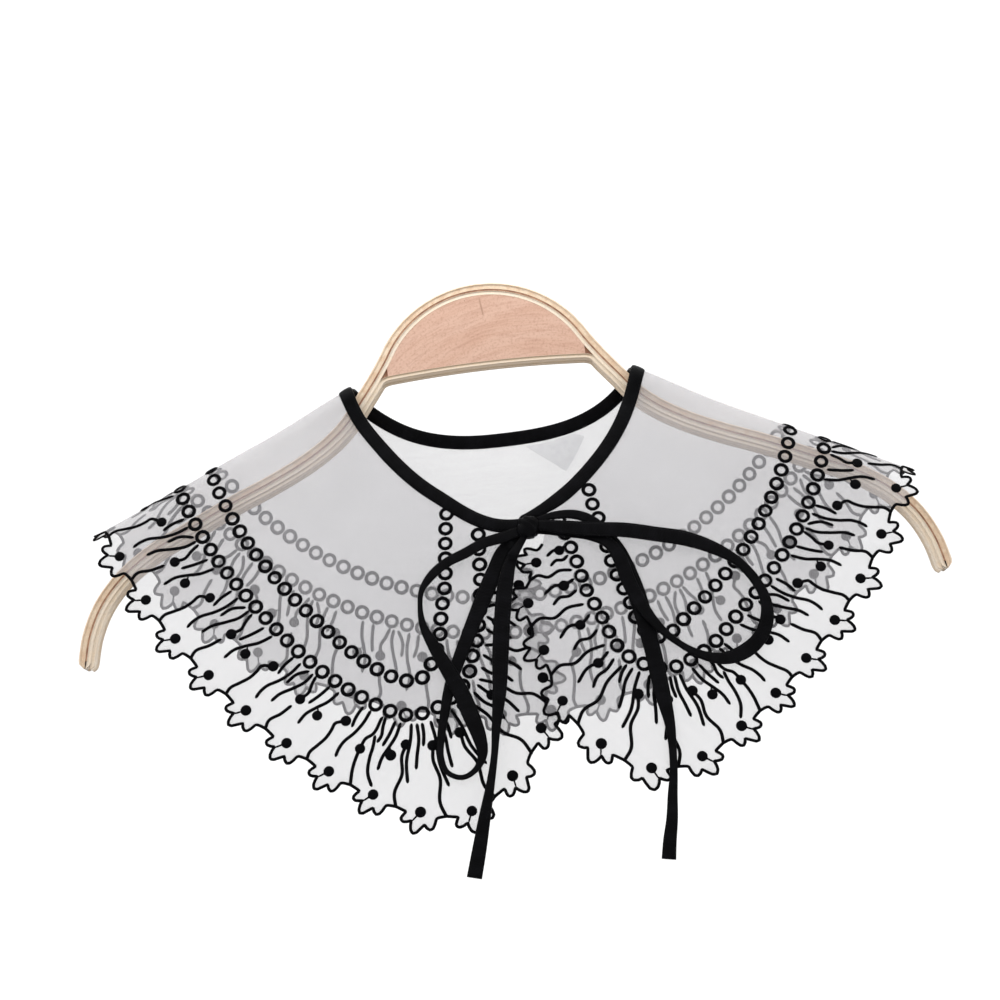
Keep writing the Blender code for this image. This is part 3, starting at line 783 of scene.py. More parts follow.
def ringShape(bed):
    # eyelet of satin stitch: a flat cord bent into a ring
    way = bed.node("GeometryNodeCurvePrimitiveCircle", None, {"Resolution": 14, "Radius": bed.given("Ring")})
    far = bed.node("GeometryNodeSplineParameter", None, None, "Length")
    way = bed.node(
        "GeometryNodeStoreNamedAttribute", {"data_type": "FLOAT"}, {0: way, "Name": "along", "Value": far}
    )
    circle = {"Resolution": 5, "Radius": bed.given("Cord")}
    section = bed.node("GeometryNodeCurvePrimitiveCircle", None, circle)
    ring = bed.node("GeometryNodeCurveToMesh", None, {0: way, 1: section})
    flat = bed.node("ShaderNodeCombineXYZ", None, {0: 1.0, 1: 1.0, 2: bed.given("Flatness")})
    ring = bed.node("GeometryNodeTransform", None, {0: ring, "Scale": flat})
    return bed.node("GeometryNodeSetShadeSmooth", None, {0: ring})


def dotShape(bed):
    # padded satin-stitch dot
    sphere = {"Segments": 12, "Rings": 5, "Radius": bed.given("Dot")}
    ball = bed.node("GeometryNodeMeshUVSphere", None, sphere)
    at = bed.node("GeometryNodeInputPosition")
    across = bed.node("ShaderNodeSeparateXYZ", None, {0: at})
    ball = bed.node(
        "GeometryNodeStoreNamedAttribute", {"data_type": "FLOAT"}, {0: ball, "Name": "along", "Value": across}
    )
    flat = bed.node("ShaderNodeCombineXYZ", None, {0: 1.0, 1: 1.0, 2: bed.given("Flatness")})
    ball = bed.node("GeometryNodeTransform", None, {0: ball, "Scale": flat})
    return bed.node("GeometryNodeSetShadeSmooth", None, {0: ball})


def pathMesh(name, strokes, lift, taper):
    # the flat strokes hung on the cloth, with what the tree needs at each point
    points, edges, facings, fat = [], [], [], []
    for stroke in strokes:
        start = len(points)
        hung = cloth.hang(stroke, lift)
        points.extend(hung)
        facings.extend(cloth.faceOut(stroke))
        ends = fromEnds(hung)
        fat.extend(taper + (1 - taper) * np.sqrt(np.clip(ends / (0.9 * mm), 0.0, 1.0)))
        edges.extend((step, step + 1) for step in range(start, len(points) - 1))
    mesh = bpy.data.meshes.new(name + "Path")
    mesh.from_pydata([tuple(point) for point in points], edges, [])
    mesh.attributes.new("facing", "FLOAT_VECTOR", "POINT").data.foreach_set("vector", np.ravel(facings))
    mesh.attributes.new("fatness", "FLOAT", "POINT").data.foreach_set("value", np.array(fat))
    return mesh


def pointMesh(name, spots, headings, lift):
    spots, headings = np.array(spots), np.array(headings)
    hung = cloth.hang(spots, lift)
    ahead = unit(cloth.hang(spots + headings * mm, lift) - hung)
    mesh = bpy.data.meshes.new(name + "Path")
    mesh.from_pydata([tuple(point) for point in hung], [], [])
    for label, vectors in (("facing", cloth.faceOut(spots)), ("heading", ahead)):
        mesh.attributes.new(label, "FLOAT_VECTOR", "POINT").data.foreach_set("vector", np.ravel(vectors))
    return mesh


# The flat cut
cutValues = {
    "ringCentre": (-4.7, -33.3),
    "hemRadii": (
        (-107, 234.0), (-92, 229.5), (-70, 228.5), (-40, 230.0), (0, 231.0), (40, 230.0), (66, 230.0),
        (78, 228.6), (90, 229.3), (100, 232.3), (112, 238.4),
    ),
    "neckRadii": (
        (-112, 91.0), (-83, 89.5), (-62, 92.0), (-33, 97.5), (0, 94.0), (33, 98.5),
        (56, 97.5), (76, 92.5), (99, 92.0), (124, 95.0), (132, 91.0),
    ),
    "leftFront": (
        (79.0, -90.0), (96.0, -112.0), (122.0, -150.0), (140.0, -165.0),
        (167.0, -170.5), (192.0, -167.0), (208.0, -148.0),
    ),
    "rightFront": (
        (-104.0, -72.0), (-108.0, -82.0), (-122.0, -102.5), (-143.0, -113.5),
        (-162.0, -124.5), (-191.5, -128.5), (-214.0, -122.5),
    ),
    "neckEdgeEnds": (-104.4, 123.0),
    "scallops": 49,
    "scallopPlaces": (
        (-0.5, 12.4), (0, 24.6), (3, 97.5), (4, 124.0), (7, 197.3), (8, 221.5), (10, 271.5), (13, 348.5),
        (15, 402.5), (35, 912.8), (38, 990.1), (41, 1059.1), (44, 1134.3), (45, 1161.8), (48, 1234.7),
        (48.5, 1243.7),
    ),
    "mirrorAt": 25,  # the scallops turn round at the centre back
    # one scallop from its shoulder side to its front side, in 25ths of its width
    "scallop": (
        (0.0, 0.0), (2.4, 0.2), (4.8, 0.5), (5.5, 0.7), (4.7, 2.3), (4.2, 4.0), (4.6, 5.0), (5.8, 5.5),
        (7.4, 5.0), (9.0, 4.0), (9.1, 6.2), (9.7, 8.4), (10.9, 9.8), (12.4, 9.2), (13.9, 7.0),
        (15.4, 4.8), (16.5, 6.2), (18.2, 7.0), (19.4, 6.2), (20.0, 4.2), (20.3, 1.6), (21.0, 1.0),
        (22.5, 0.5),
    ),
    "clothHalf": 0.05,  # mm, half of the visible thickness of the cloth
}
ringCentre = np.array(cutValues["ringCentre"]) * mm


def aboutRing(degrees, radius):
    angle = np.radians(degrees)
    return ringCentre + radius[..., None] * np.stack([np.sin(angle), np.cos(angle)], axis=-1)


def neckLine(degrees, offset):
    return aboutRing(degrees, readTable(cutValues["neckRadii"], degrees) * mm + offset)


def valleyLine():
    left, right = (np.array(cutValues[side]) * mm for side in ("leftFront", "rightFront"))
    hemRadii = cutValues["hemRadii"]
    degrees = np.linspace(hemRadii[-1][0], hemRadii[0][0], 48)
    hem = aboutRing(degrees, readTable(hemRadii, degrees) * mm)
    return curveThrough(np.concatenate([left, hem, right[::-1]]), 4800)


valley = valleyLine()
valleyAlong = lengthsAlong(valley)
valleyAhead = unit(np.gradient(valley, axis=0))
valleyOut = np.stack([-valleyAhead[:, 1], valleyAhead[:, 0]], axis=-1)
if np.dot(valleyOut[2400], valley[2400] - ringCentre) < 0:
    valleyOut = -valleyOut


def atValley(stations):
    # where scallop stations lie along the valley line, as fractions of its samples
    distance = readTable(cutValues["scallopPlaces"], stations) * mm
    return np.interp(distance, valleyAlong, np.arange(len(valley)))


def sampled(rows, where):
    return readRows(where, np.arange(len(rows)), rows)


def scallopEdge():
    chart = np.array(cutValues["scallop"]) / (25.0, 1.0)
    edge = [valley[0]]
    for scallop in range(cutValues["scallops"]):
        rows = chart if scallop >= cutValues["mirrorAt"] else (chart * (-1, 1) + (1, 0))[::-1]
        where = atValley(scallop - 0.5 + rows[:, 0])
        edge.extend(sampled(valley, where) + sampled(valleyOut, where) * rows[:, 1:] * mm)
    edge.append(valley[-1])
    return np.array(edge)


edgeLine = scallopEdge()

rowValues = {
    # ring rows on the flat cut: left front, arc as degrees and radius, right front
    "outer": {
        "left": (
            (88, -77), (98, -87), (103, -92), (124, -110), (130, -114), (136, -117), (142, -121),
            (148, -123), (168, -120), (174, -116), (178, -111), (181, -103), (184, -90), (187, -67),
        ),
        "arc": ((96, 193), (91, 191), (60, 190), (0, 190), (-60, 190), (-90, 190.5)),
        "right": (
            (-196, -57), (-195, -63), (-193, -70), (-190, -77), (-179, -85), (-172, -87), (-166, -87),
            (-159, -85), (-152, -82), (-145, -79), (-139, -77), (-132, -74), (-126, -70), (-119, -66),
            (-113, -63), (-107, -60), (-101, -57),
        ),
    },
    "inner": {
        "left": (
            (90, -58), (96, -63), (117, -82), (122, -86), (128, -90), (134, -95), (139, -99),
            (152, -105), (159, -106), (164, -102), (167, -96), (169, -88), (170, -82), (171, -66),
        ),
        "arc": ((94, 175.5), (88, 174), (60, 172.5), (0, 172.5), (-60, 172.5), (-90, 173.5)),
        "right": (
            (-178, -57), (-178, -64), (-176, -69), (-171, -72), (-164, -71), (-157, -68), (-151, -64),
            (-145, -62), (-139, -59), (-132, -55), (-114, -43), (-108, -40), (-101, -35),
        ),
    },
    "pitch": 7.75,
    "ring": {"Ring": 2.74 * mm, "Cord": 1.0 * mm, "Flatness": 0.52, "Least": 0.97, "Most": 1.03, "Seed": 4},
}


def rowLine(row):
    degrees = np.linspace(row["arc"][0][0], row["arc"][-1][0], 40)
    radii = readTable(row["arc"][::-1], degrees) * mm
    parts = [np.array(row["left"]) * mm, aboutRing(degrees, radii), np.array(row["right"]) * mm]
    return curveThrough(np.concatenate(parts), 3000)


outerRow, innerRow = rowLine(rowValues["outer"]), rowLine(rowValues["inner"])


def partners():
    # the place on the outer ring row that faces each scallop station, smoothed at the corners
    stations = np.linspace(-0.5, 48.5, 393)
    base = sampled(valley, atValley(stations))
    nearest = np.array([np.linalg.norm(outerRow - point, axis=1).argmin() for point in base], float)
    nearest = np.maximum.accumulate(nearest)
    kernel = np.hanning(15)
    padded = np.pad(nearest, 7, mode="edge")
    return stations, np.convolve(padded, kernel / kernel.sum(), mode="valid")


partnerStations, partnerPlaces = partners()


def inBand(stations, shares):
    # share 0 on the valley line and 1 on the middle of the outer ring row
    stations, shares = np.asarray(stations, float), np.asarray(shares, float)
    base = sampled(valley, atValley(stations))
    top = sampled(outerRow, np.interp(stations, partnerStations, partnerPlaces))
    return base + (top - base) * shares[..., None]


# Embroidery charts
motifValues = {
    # mm along the hem towards the front and mm in from it, on a repeat two scallops wide
    "pitch": 25.5,
    "depth": 42.5,
    "stems": (
        ((10.2, 38.6), (9.8, 31.7), (10.7, 26.3)),
        ((15.7, 38.6), (15.4, 30.7), (13.9, 24.6), (11.0, 16.9), (11.0, 11.4), (11.6, 8.8)),
        ((22.6, 38.5), (18.4, 32.7), (17.5, 25.6)),
        ((25.2, 38.5), (24.9, 32.7), (22.2, 25.8), (18.9, 18.5), (18.3, 13.0)),
        ((37.8, 38.5), (36.2, 31.4), (34.0, 24.5)),
        ((44.3, 38.5), (42.2, 30.9), (38.8, 24.7), (36.5, 19.2), (36.3, 12.5)),
    ),
    "rooted": (
        (0.0, -0.3), (-1.0, 3.2), (0.4, 9.2), (1.8, 14.6), (1.9, 20.1), (1.5, 23.5), (3.4, 25.6), (5.9, 27.0),
    ),
    "loose": ((25.6, -0.3), (24.1, 4.0), (26.4, 11.2), (27.8, 18.3)),
    "through": ((25.5, -0.3), (22.6, 8.2), (21.3, 18.5), (22.0, 25.4), (23.3, 26.6), (25.2, 38.2)),
    "toEdgeDot": ((26.1, 28.0), (28.1, 22.0), (28.9, 16.6), (31.5, 9.0), (36.2, 3.8)),
    "dotStems": (((27.6, 38.7), (28.8, 33.5), (30.4, 28.9), (29.3, 25.0)), ((39.6, 25.6), (41.8, 23.0))),
    "dots": ((5.9, 27.6), (29.1, 23.6), (42.0, 21.9)),
    "throughDots": ((5.9, 27.6), (21.3, 18.5), (42.0, 21.9)),
    "leftRepeats": range(8, 26, 2),  # scallops whose shoulder-side valley starts a repeat
    "rightRepeats": range(25, 41, 2),
    # one scallop of the corners and of the fronts: scallop shares and band shares
    "cornerStems": (
        ((0.0, -0.01), (-0.07, 0.12), (0.06, 0.36), (0.0, 0.56), (0.09, 0.66)),
        ((0.3, 0.91), (0.27, 0.74), (0.16, 0.5), (0.22, 0.28)),
        ((0.6, 0.91), (0.61, 0.74), (0.5, 0.58), (0.45, 0.44)),
        ((0.88, 0.91), (0.86, 0.8), (0.76, 0.68)),
    ),
    "cornerDots": ((0.1, 0.68),),
    "frontStems": (
        ((1.0, -0.02), (0.92, 0.16), (1.03, 0.36), (0.94, 0.6), (1.0, 0.86)),
        ((0.24, 0.86), (0.34, 0.7), (0.3, 0.5), (0.44, 0.3)),
        ((0.58, 0.86), (0.68, 0.7), (0.64, 0.56), (0.76, 0.42)),
    ),
    "frontDots": ((0.36, 0.66),),
    "leftCorner": (4, 5, 6),
    "rightCorner": (42, 43, 44),
    "leftFront": (0, 1, 2, 3),
    "rightFront": (45, 46, 47, 48),
    "edgeDot": (0.49, -0.6),  # share of the scallop, and mm out from the valley line
    "linkFoot": (9.2, 4.4),
    "stem": {"halfWidth": 0.84, "halfHeight": 0.5, "sides": 8},
    "edge": {"halfWidth": 0.76, "halfHeight": 0.52, "sides": 8},
    "link": {"halfWidth": 0.46, "halfHeight": 0.42, "sides": 6},
    "dot": {"Dot": 2.72 * mm, "Flatness": 0.24, "Least": 0.96, "Most": 1.04, "Seed": 9},
    "stroke": 1.0,  # mm between the points of a stroke
    "edgeStep": 0.8,
}


def chartEmbroidery():
    m = motifValues
    stems, links, dots = [], [], []

    def stroke(points, keep):
        line = curveThrough(inBand(*np.array(points, float).T), 60)
        count = max(4, int(lengthsAlong(line)[-1] / mm / m["stroke"]) + 1)
        keep.append(evenlySpaced(line, count))

    def hemPlace(start, way, rows):
        rows = np.array(rows, float)
        return np.stack([start + way * rows[:, 0] / m["pitch"], rows[:, 1] / m["depth"]], axis=-1)

    for repeats, way, last in ((m["leftRepeats"], -1, 8), (m["rightRepeats"], 1, 39)):
        for first in repeats:
            start = first + 0.5
            front = first == last
            rows = list(m["stems"]) + [m["rooted"], m["through"] if front else m["loose"]]
            if front:
                rows = [row for row in rows if row not in (m["stems"][2], m["stems"][3])] + [m["toEdgeDot"]]
            for row in rows:
                stroke(hemPlace(start, way, row), stems)
            for row in m["dotStems"]:
                stroke(hemPlace(start, way, row), links if len(row) == 2 else stems)
            dots.extend(hemPlace(start, way, m["throughDots"] if front else m["dots"]))
    for kind, scallops, way in (
        ("corner", m["leftCorner"], -1),
        ("corner", m["rightCorner"], 1),
        ("front", m["leftFront"], 1),
        ("front", m["rightFront"], -1),
    ):
        for scallop in scallops:
            for row in m[kind + "Stems"]:
                row = np.array(row, float) * (way, 1) + (scallop - way * 0.5, 0)
                stroke(row, stems)
            dots.extend(np.array(m[kind + "Dots"], float) * (way, 1) + (scallop - way * 0.5, 0))
    dots = list(inBand(*np.array(dots).T))
    for scallop in range(cutValues["scallops"]):
        share, out = m["edgeDot"]
        foot, rise = m["linkFoot"]
        foot = foot / 25.0
        if scallop < cutValues["mirrorAt"]:
            share, foot = 1 - share, 1 - foot
        where = atValley(np.array((scallop - 0.5 + share, scallop - 0.5 + foot)))
        ends = sampled(valley, where) + sampled(valleyOut, where) * np.array(((out,), (rise,))) * mm
        dots.append(ends[0])
        links.append(evenlySpaced(ends, 5))
    return stems, links, dots


stems, links, dots = chartEmbroidery()
embroideryLift = wall / 2


def buildRings():
    spots, headings = [], []
    for row in (outerRow, innerRow):
        length = lengthsAlong(row)[-1] / mm
        placed = evenlySpaced(row, round(length / rowValues["pitch"]) + 1)
        spots.extend(placed)
        headings.extend(unit(np.gradient(placed, axis=0)))
    bed = strewn("ringStitch", rowValues["ring"], ringShape)
    return bed.grow("embroideryRings", pointMesh("rings", spots, headings, embroideryLift), thread)


rings = buildRings()
dotBed = strewn("dotStitch", motifValues["dot"], dotShape)
dotPieces = dotBed.grow(
    "embroideryDots", pointMesh("dots", dots, np.tile((1.0, 0.0), (len(dots), 1)), embroideryLift), thread
)
stemPieces = swept("stemStitch", motifValues["stem"]).grow(
    "embroideryStems", pathMesh("stems", stems, embroideryLift, 0.45), thread
)
linkPieces = swept("linkStitch", motifValues["link"]).grow(
    "embroideryLinks", pathMesh("links", links, embroideryLift, 0.6), thread
)


def edgeStroke():
    return evenlySpaced(edgeLine, int(lengthsAlong(edgeLine)[-1] / mm / motifValues["edgeStep"]))


edgePiece = swept("edgeStitch", motifValues["edge"]).grow(
    "embroideryEdge", pathMesh("edge", [edgeStroke()], embroideryLift, 1.0), thread
)
print("embroidery made:", len(stems), "stems,", len(dots), "dots")


# Organza panel
panelValues = {
    "degrees": (-128.0, 140.0),
    "foldStep": 0.8,
    "foldReach": 7,
    "step": 1.5,
    "rows": (62.0, 256.0, 4.0),
    "margin": 1.8,
    "neckInside": 2.6,  # mm that the cloth reaches into the binding
    "uvSide": 0.5,  # metres across the UV square
}


def inside(points, outline, margin):
    ahead = np.roll(outline, -1, axis=0)
    keep = np.zeros(len(points), bool)
    for index, point in enumerate(points):
        if np.abs(outline - point).max(axis=1).min() < margin:
            continue
        crosses = (outline[:, 1] > point[1]) != (ahead[:, 1] > point[1])
        near, far = outline[crosses], ahead[crosses]
        at = near[:, 0] + (point[1] - near[:, 1]) / (far[:, 1] - near[:, 1]) * (far[:, 0] - near[:, 0])
        keep[index] = np.count_nonzero(point[0] < at) % 2
    return keep


def buildPanel():
    v = panelValues
    neckDegrees = np.arange(cutValues["neckEdgeEnds"][0], cutValues["neckEdgeEnds"][1], v["step"])
    outline = np.concatenate([edgeLine, neckLine(neckDegrees, v["neckInside"] * mm)])
    angles = [v["degrees"][0]]
    while angles[-1] < v["degrees"][1]:
        near = np.abs(cloth.folds - angles[-1]).min()
        angles.append(angles[-1] + (v["foldStep"] if near < v["foldReach"] else v["step"]))
    angle, distance = np.meshgrid(np.radians(angles), np.arange(*v["rows"]) * mm)
    grid = np.stack([np.sin(angle) * distance, np.cos(angle) * distance], axis=-1).reshape(-1, 2)
    grid = grid[inside(grid, outline, v["margin"] * mm)]
    points = [Vector(point) for point in outline] + [Vector(point) for point in grid]
    flat, _, faces, *_ = delaunay_2d_cdt(points, [], [list(range(len(outline)))], 1, 1e-6)
    flat = np.array([tuple(point) for point in flat])
    area = sum(
        abs(np.cross(flat[b] - flat[a], flat[c] - flat[a])) / 2 for a, b, c in faces
    )
    half = cutValues["clothHalf"] * mm
    skin = bmesh.new()
    layer = skin.loops.layers.uv.new("flatCut")
    low = [skin.verts.new(point) for point in cloth.hang(flat, wall / 2 - half)]
    high = [skin.verts.new(point) for point in cloth.hang(flat, wall / 2 + half)]
    skin.verts.index_update()
    count = len(flat)
    for corners in faces:
        skin.faces.new([high[corner] for corner in corners])
        skin.faces.new([low[corner] for corner in reversed(corners)])
    rims = [edge for edge in skin.edges if edge.is_boundary and edge.verts[0].index < count]
    for edge in rims:
        first, second = (vertex.index for vertex in edge.verts)
        skin.faces.new((low[first], low[second], high[second], high[first]))
    for edge in rims:
        edge.smooth = False
    for face in skin.faces:
        face.smooth = True
        for loop in face.loops:
            loop[layer].uv = flat[loop.vert.index % count] / v["uvSide"] + 0.5
    bmesh.ops.recalc_face_normals(skin, faces=skin.faces)
    mesh = bpy.data.meshes.new("organzaPanel")
    skin.to_mesh(mesh)
    skin.free()
    return makeObject("organzaPanel", mesh, organza), area, np.ptp(flat, axis=0)


panel, panelArea, panelSize = buildPanel()
panel.visible_shadow = False  # light passes through organza, so it hardly shades what lies behind it
print("panel made:", round(panelArea, 5), "square metres, flat", panelSize.round(4))


# Neck binding
bindingValues = {
    "ends": (-114.0, 128.8),
    "width": 7.0,
    "narrowing": (26.0, 0.62),  # mm before the right end, and the share of the width left there
    "thickness": 2.4,
    "step": 1.0,
    "foldStep": 0.5,
    "foldReach": 8.0,
    "ring": 16,
    "squareness": 2.9,
}


def buildBinding():
    v = bindingValues
    stations = [v["ends"][0]]
    while v["ends"][1] - stations[-1] > v["step"]:
        at = neckLine(np.array(stations[-1]), 0.0)
        off = np.abs(cloth.folds - math.degrees(math.atan2(at[0], at[1]))).min()
        stations.append(stations[-1] + (v["foldStep"] if off < v["foldReach"] else v["step"]))
    degrees = np.array(stations + [v["ends"][1]])
    along = lengthsAlong(neckLine(degrees, 0.0))
    across, deep = rounded(v["ring"], v["squareness"])
    ends = fromEnds(neckLine(degrees, 0.0))
    tip = 0.55 + 0.45 * np.sqrt(np.clip(ends / (1.6 * mm), 0, 1))
    reach, least = v["narrowing"]
    slim = least + (1 - least) * fade(along, 0.0, reach * mm)
    # the strip puckers a little and leans on its folded edge
    pucker = 1 + 0.035 * np.sin(along / mm / 4.1) + 0.03 * np.sin(along / mm / 9.7 + 1)
    sections = []
    for a, d in zip(across, deep):
        offset = a * v["width"] / 2 * mm * tip * slim
        crown = d * v["thickness"] / 2 * mm * tip * pucker * (1 - 0.16 * (a > 0) * abs(a))
        sections.append(cloth.hang(neckLine(degrees, offset), wall / 2 + crown))
    return sweep("neckBinding", np.stack(sections, axis=1), along, satin)


binding = buildBinding()


# Bow and tails
tieValues = {
    "width": 8.2,
    "thickness": 1.2,
    "stations": 150,
    "ring": 18,
    "squareness": 3.4,
    "bowLoopLeft": (
        (6.2, -133.6, 4.2, 0.55), (4.2, -134.1, 4.2, 0.60), (-2.5, -135.5, 4.2, 0.70),
        (-11.0, -137.0, 4.2, 0.65),
        (-20.5, -141.0, 4.2, 0.65), (-30.5, -145.0, 4.2, 0.60), (-38.0, -150.5, 4.2, 0.55),
        (-43.0, -157.0, 4.2, 0.35), (-44.5, -165.0, 4.2, 0.30), (-44.0, -174.0, 4.2, 0.45),
        (-40.0, -184.5, 4.2, 0.70), (-35.0, -196.0, 4.2, 0.85), (-30.0, -207.5, 4.0, 0.95),
        (-26.0, -220.5, 3.8, 0.95), (-23.5, -230.0, 3.4, 0.80), (-23.0, -238.5, 3.2, 0.55),
        (-26.5, -244.5, 3.0, 0.35), (-33.0, -247.5, 2.8, 0.30), (-39.5, -244.5, 2.4, 0.30),
        (-42.0, -237.0, 2.2, 0.35), (-41.0, -227.5, 2.0, 0.45), (-38.0, -215.5, 1.8, 0.55),
        (-35.0, -205.0, 1.6, 0.65), (-30.0, -193.5, 1.6, 0.75), (-23.0, -179.5, 1.6, 0.85),
        (-15.5, -165.0, 1.6, 0.95), (-8.0, -151.0, 1.6, 0.95), (-1.5, -140.0, 1.6, 0.80),
        (4.4, -135.6, 1.6, 0.55), (6.0, -133.9, 1.7, 0.50),
    ),
    "bowLoopRight": (
        (14.9, -132.3, 5.4, 0.60), (17.0, -132.6, 5.6, 0.65), (27.0, -134.5, 5.6, 0.85),
        (41.0, -137.0, 5.6, 0.90),
        (55.5, -139.0, 5.4, 0.95), (69.5, -142.5, 5.2, 0.95), (84.0, -146.5, 5.0, 0.95),
        (96.5, -152.5, 4.6, 0.80), (106.5, -160.0, 4.2, 0.60), (113.5, -170.0, 3.8, 0.60),
        (117.0, -180.5, 3.4, 0.65), (116.0, -190.0, 3.2, 0.80), (111.5, -198.0, 3.2, 0.85),
        (103.0, -204.0, 3.2, 0.90), (93.5, -206.0, 3.2, 0.75), (84.0, -203.5, 3.2, 0.55),
        (75.5, -198.0, 3.2, 0.40), (69.0, -192.0, 3.2, 0.45), (63.0, -184.0, 3.4, 0.60),
        (58.0, -174.5, 3.4, 0.80), (54.0, -163.0, 3.4, 0.85), (51.5, -151.5, 3.4, 0.80),
        (47.0, -143.5, 3.4, 0.70), (38.5, -139.0, 3.4, 0.60), (28.0, -136.5, 3.4, 0.55),
        (17.0, -134.3, 3.4, 0.45), (15.0, -134.0, 3.4, 0.45),
    ),
    "tieTailLeft": (
        (8.2, -136.2, 4.0, 0.40), (6.8, -138.3, 4.2, 0.42), (1.0, -147.0, 5.6, 0.65),
        (-3.5, -159.5, 5.4, 0.90),
        (-6.5, -174.0, 5.4, 0.95), (-9.5, -192.5, 5.2, 0.95), (-12.0, -210.5, 5.2, 0.80),
        (-15.5, -228.0, 5.2, 0.50), (-17.5, -239.5, 5.0, 0.40), (-21.0, -253.5, 4.8, 0.50),
        (-24.5, -265.5, 4.6, 0.65), (-29.0, -281.5, 4.2, 0.80), (-32.5, -293.5, 4.0, 0.85),
    ),
    "tieTailRight": (
        (14.9, -128.8, 3.3, 0.35), (16.8, -128.2, 3.2, 0.36), (24.0, -127.0, 3.0, 0.50),
        (34.0, -127.5, 2.4, 0.60),
        (41.0, -131.0, 1.8, 0.65), (46.0, -137.0, 1.6, 0.70), (50.5, -145.5, 1.4, 0.95),
        (54.5, -157.5, 1.4, 1.05), (57.5, -170.0, 1.4, 1.05), (59.5, -184.0, 1.4, 1.00),
        (61.0, -197.0, 1.4, 0.95), (62.0, -209.5, 1.4, 0.95), (63.0, -221.5, 1.4, 0.85),
        (64.0, -234.0, 1.5, 0.60), (63.5, -246.0, 1.7, 0.45), (62.5, -255.5, 1.9, 0.45),
        (60.5, -266.0, 2.2, 0.55), (58.5, -277.5, 2.6, 0.65), (56.0, -287.5, 3.0, 0.75),
        (54.5, -295.0, 3.0, 0.80),
    ),
}


def buildStrand(name):
    v = tieValues
    route = curveThrough(v[name], v["stations"])
    x, z = route[:, 0] * mm, route[:, 1] * mm
    y, normal = cloth.frontDepth(x, z)
    middle = np.stack([x, y, z], axis=-1) + normal * route[:, 2:3] * mm
    tangent = unit(np.gradient(middle, axis=0))
    side = unit(np.cross(tangent, normal))
    face = np.cross(side, tangent)
    along = lengthsAlong(middle)
    across, deep = rounded(v["ring"], v["squareness"])
    half = route[:, 3] * v["width"] / 2 * mm
    # folded edges stay plump, and the strip creases as it turns
    ripple = 1 + 0.05 * np.sin(along / mm / 5.3) + 0.04 * np.sin(along / mm / 12.1 + 2)
    thick = v["thickness"] / 2 * mm * ripple
    sections = middle[:, None] + (
        side[:, None] * (across[None, :, None] * half[:, None, None])
        + face[:, None] * (deep[None, :, None] * thick[:, None, None])
    )
    strand = sweep(name, sections, along, satin)
    return strand, middle


strands = {name: buildStrand(name) for name in ("bowLoopLeft", "bowLoopRight", "tieTailLeft", "tieTailRight")}

knotValues = {
    "size": (10.5, 8.0, 11.0),
    "place": (10.5, -132.0, 3.4),
    "turn": (-13.0, 8.0),
    "squareness": 2.7,
    "rings": 30,
    "sides": 44,
}


def buildKnot():
    v = knotValues
    x, z, height = v["place"]
    y, normal = cloth.frontDepth(np.array(x * mm), np.array(z * mm))
    centre = np.array((x * mm, float(y), z * mm)) + normal * height * mm
    rise = np.linspace(-math.pi / 2, math.pi / 2, v["rings"])[1:-1]
    turn = np.linspace(0, 2 * math.pi, v["sides"], endpoint=False)
    power = 2 / v["squareness"]

    def shaped(value):
        return np.sign(value) * np.abs(value) ** power

    sections = []
    for angle in rise:
        ring = np.stack(
            [
                shaped(np.cos(angle)) * shaped(np.cos(turn)),
                shaped(np.cos(angle)) * shaped(np.sin(turn)),
                np.full_like(turn, shaped(np.sin(angle))),
            ],
            axis=-1,
        )
        # wraps of the strip run slantwise round the knot, with a valley between them
        slant = ring[:, 2] * 1.1 + ring[:, 0] * 0.75
        wrap = 1 - 0.10 * hump(slant, 0.42, 0.13) - 0.12 * hump(slant, -0.38, 0.15)
        wrap += 0.02 * np.sin(ring[:, 0] * 9 + ring[:, 2] * 5)
        sections.append(ring * wrap[:, None] * np.array(v["size"]) / 2 * mm)
    sections = np.array(sections)
    aboutX, aboutY = (math.radians(angle) for angle in v["turn"])
    cosX, sinX, cosY, sinY = math.cos(aboutX), math.sin(aboutX), math.cos(aboutY), math.sin(aboutY)
    turnX = np.array(((1, 0, 0), (0, cosX, -sinX), (0, sinX, cosX)))
    turnY = np.array(((cosY, 0, sinY), (0, 1, 0), (-sinY, 0, cosY)))
    sections = sections @ (turnY @ turnX).T + centre
    along = np.linspace(0, v["size"][2] * mm, len(sections))
    return sweep("bowKnot", sections, along, satin)


knot = buildKnot()


# Label tab
labelValues = {
    "top": ((-5.0, 98.9), (-19.3, 100.5)),
    "foot": ((-13.6, 116.5), (-21.6, 104.4)),
    "thickness": 0.3,
    "gap": 0.5,
    "sag": 0.25,
    "steps": 14,
}


def buildLabel():
    v = labelValues
    shares = np.linspace(0.0, 1.0, v["steps"])[:, None]
    edges = []
    for near, far in (v["top"], v["foot"]):
        polar = np.array(near) * (1 - shares) + np.array(far) * shares
        edges.append(aboutRing(polar[:, 0], polar[:, 1] * mm))
    lows = (-v["gap"] * mm, -(v["gap"] + v["thickness"]) * mm)
    acrossShares = np.linspace(0, 1, 7)
    ring = [(share, 0) for share in acrossShares] + [(share, 1) for share in acrossShares[::-1]]
    sections = []
    for share, face in ring:
        sag = v["sag"] * mm * math.sin(share * math.pi)
        sections.append(cloth.hang(edges[0] * (1 - share) + edges[1] * share, lows[face] - sag))
    sections = np.stack(sections, axis=1)
    return sweep("neckLabel", sections, lengthsAlong(edges[0]), film, smooth=False)


label = buildLabel()
print("binding, bow and label made")


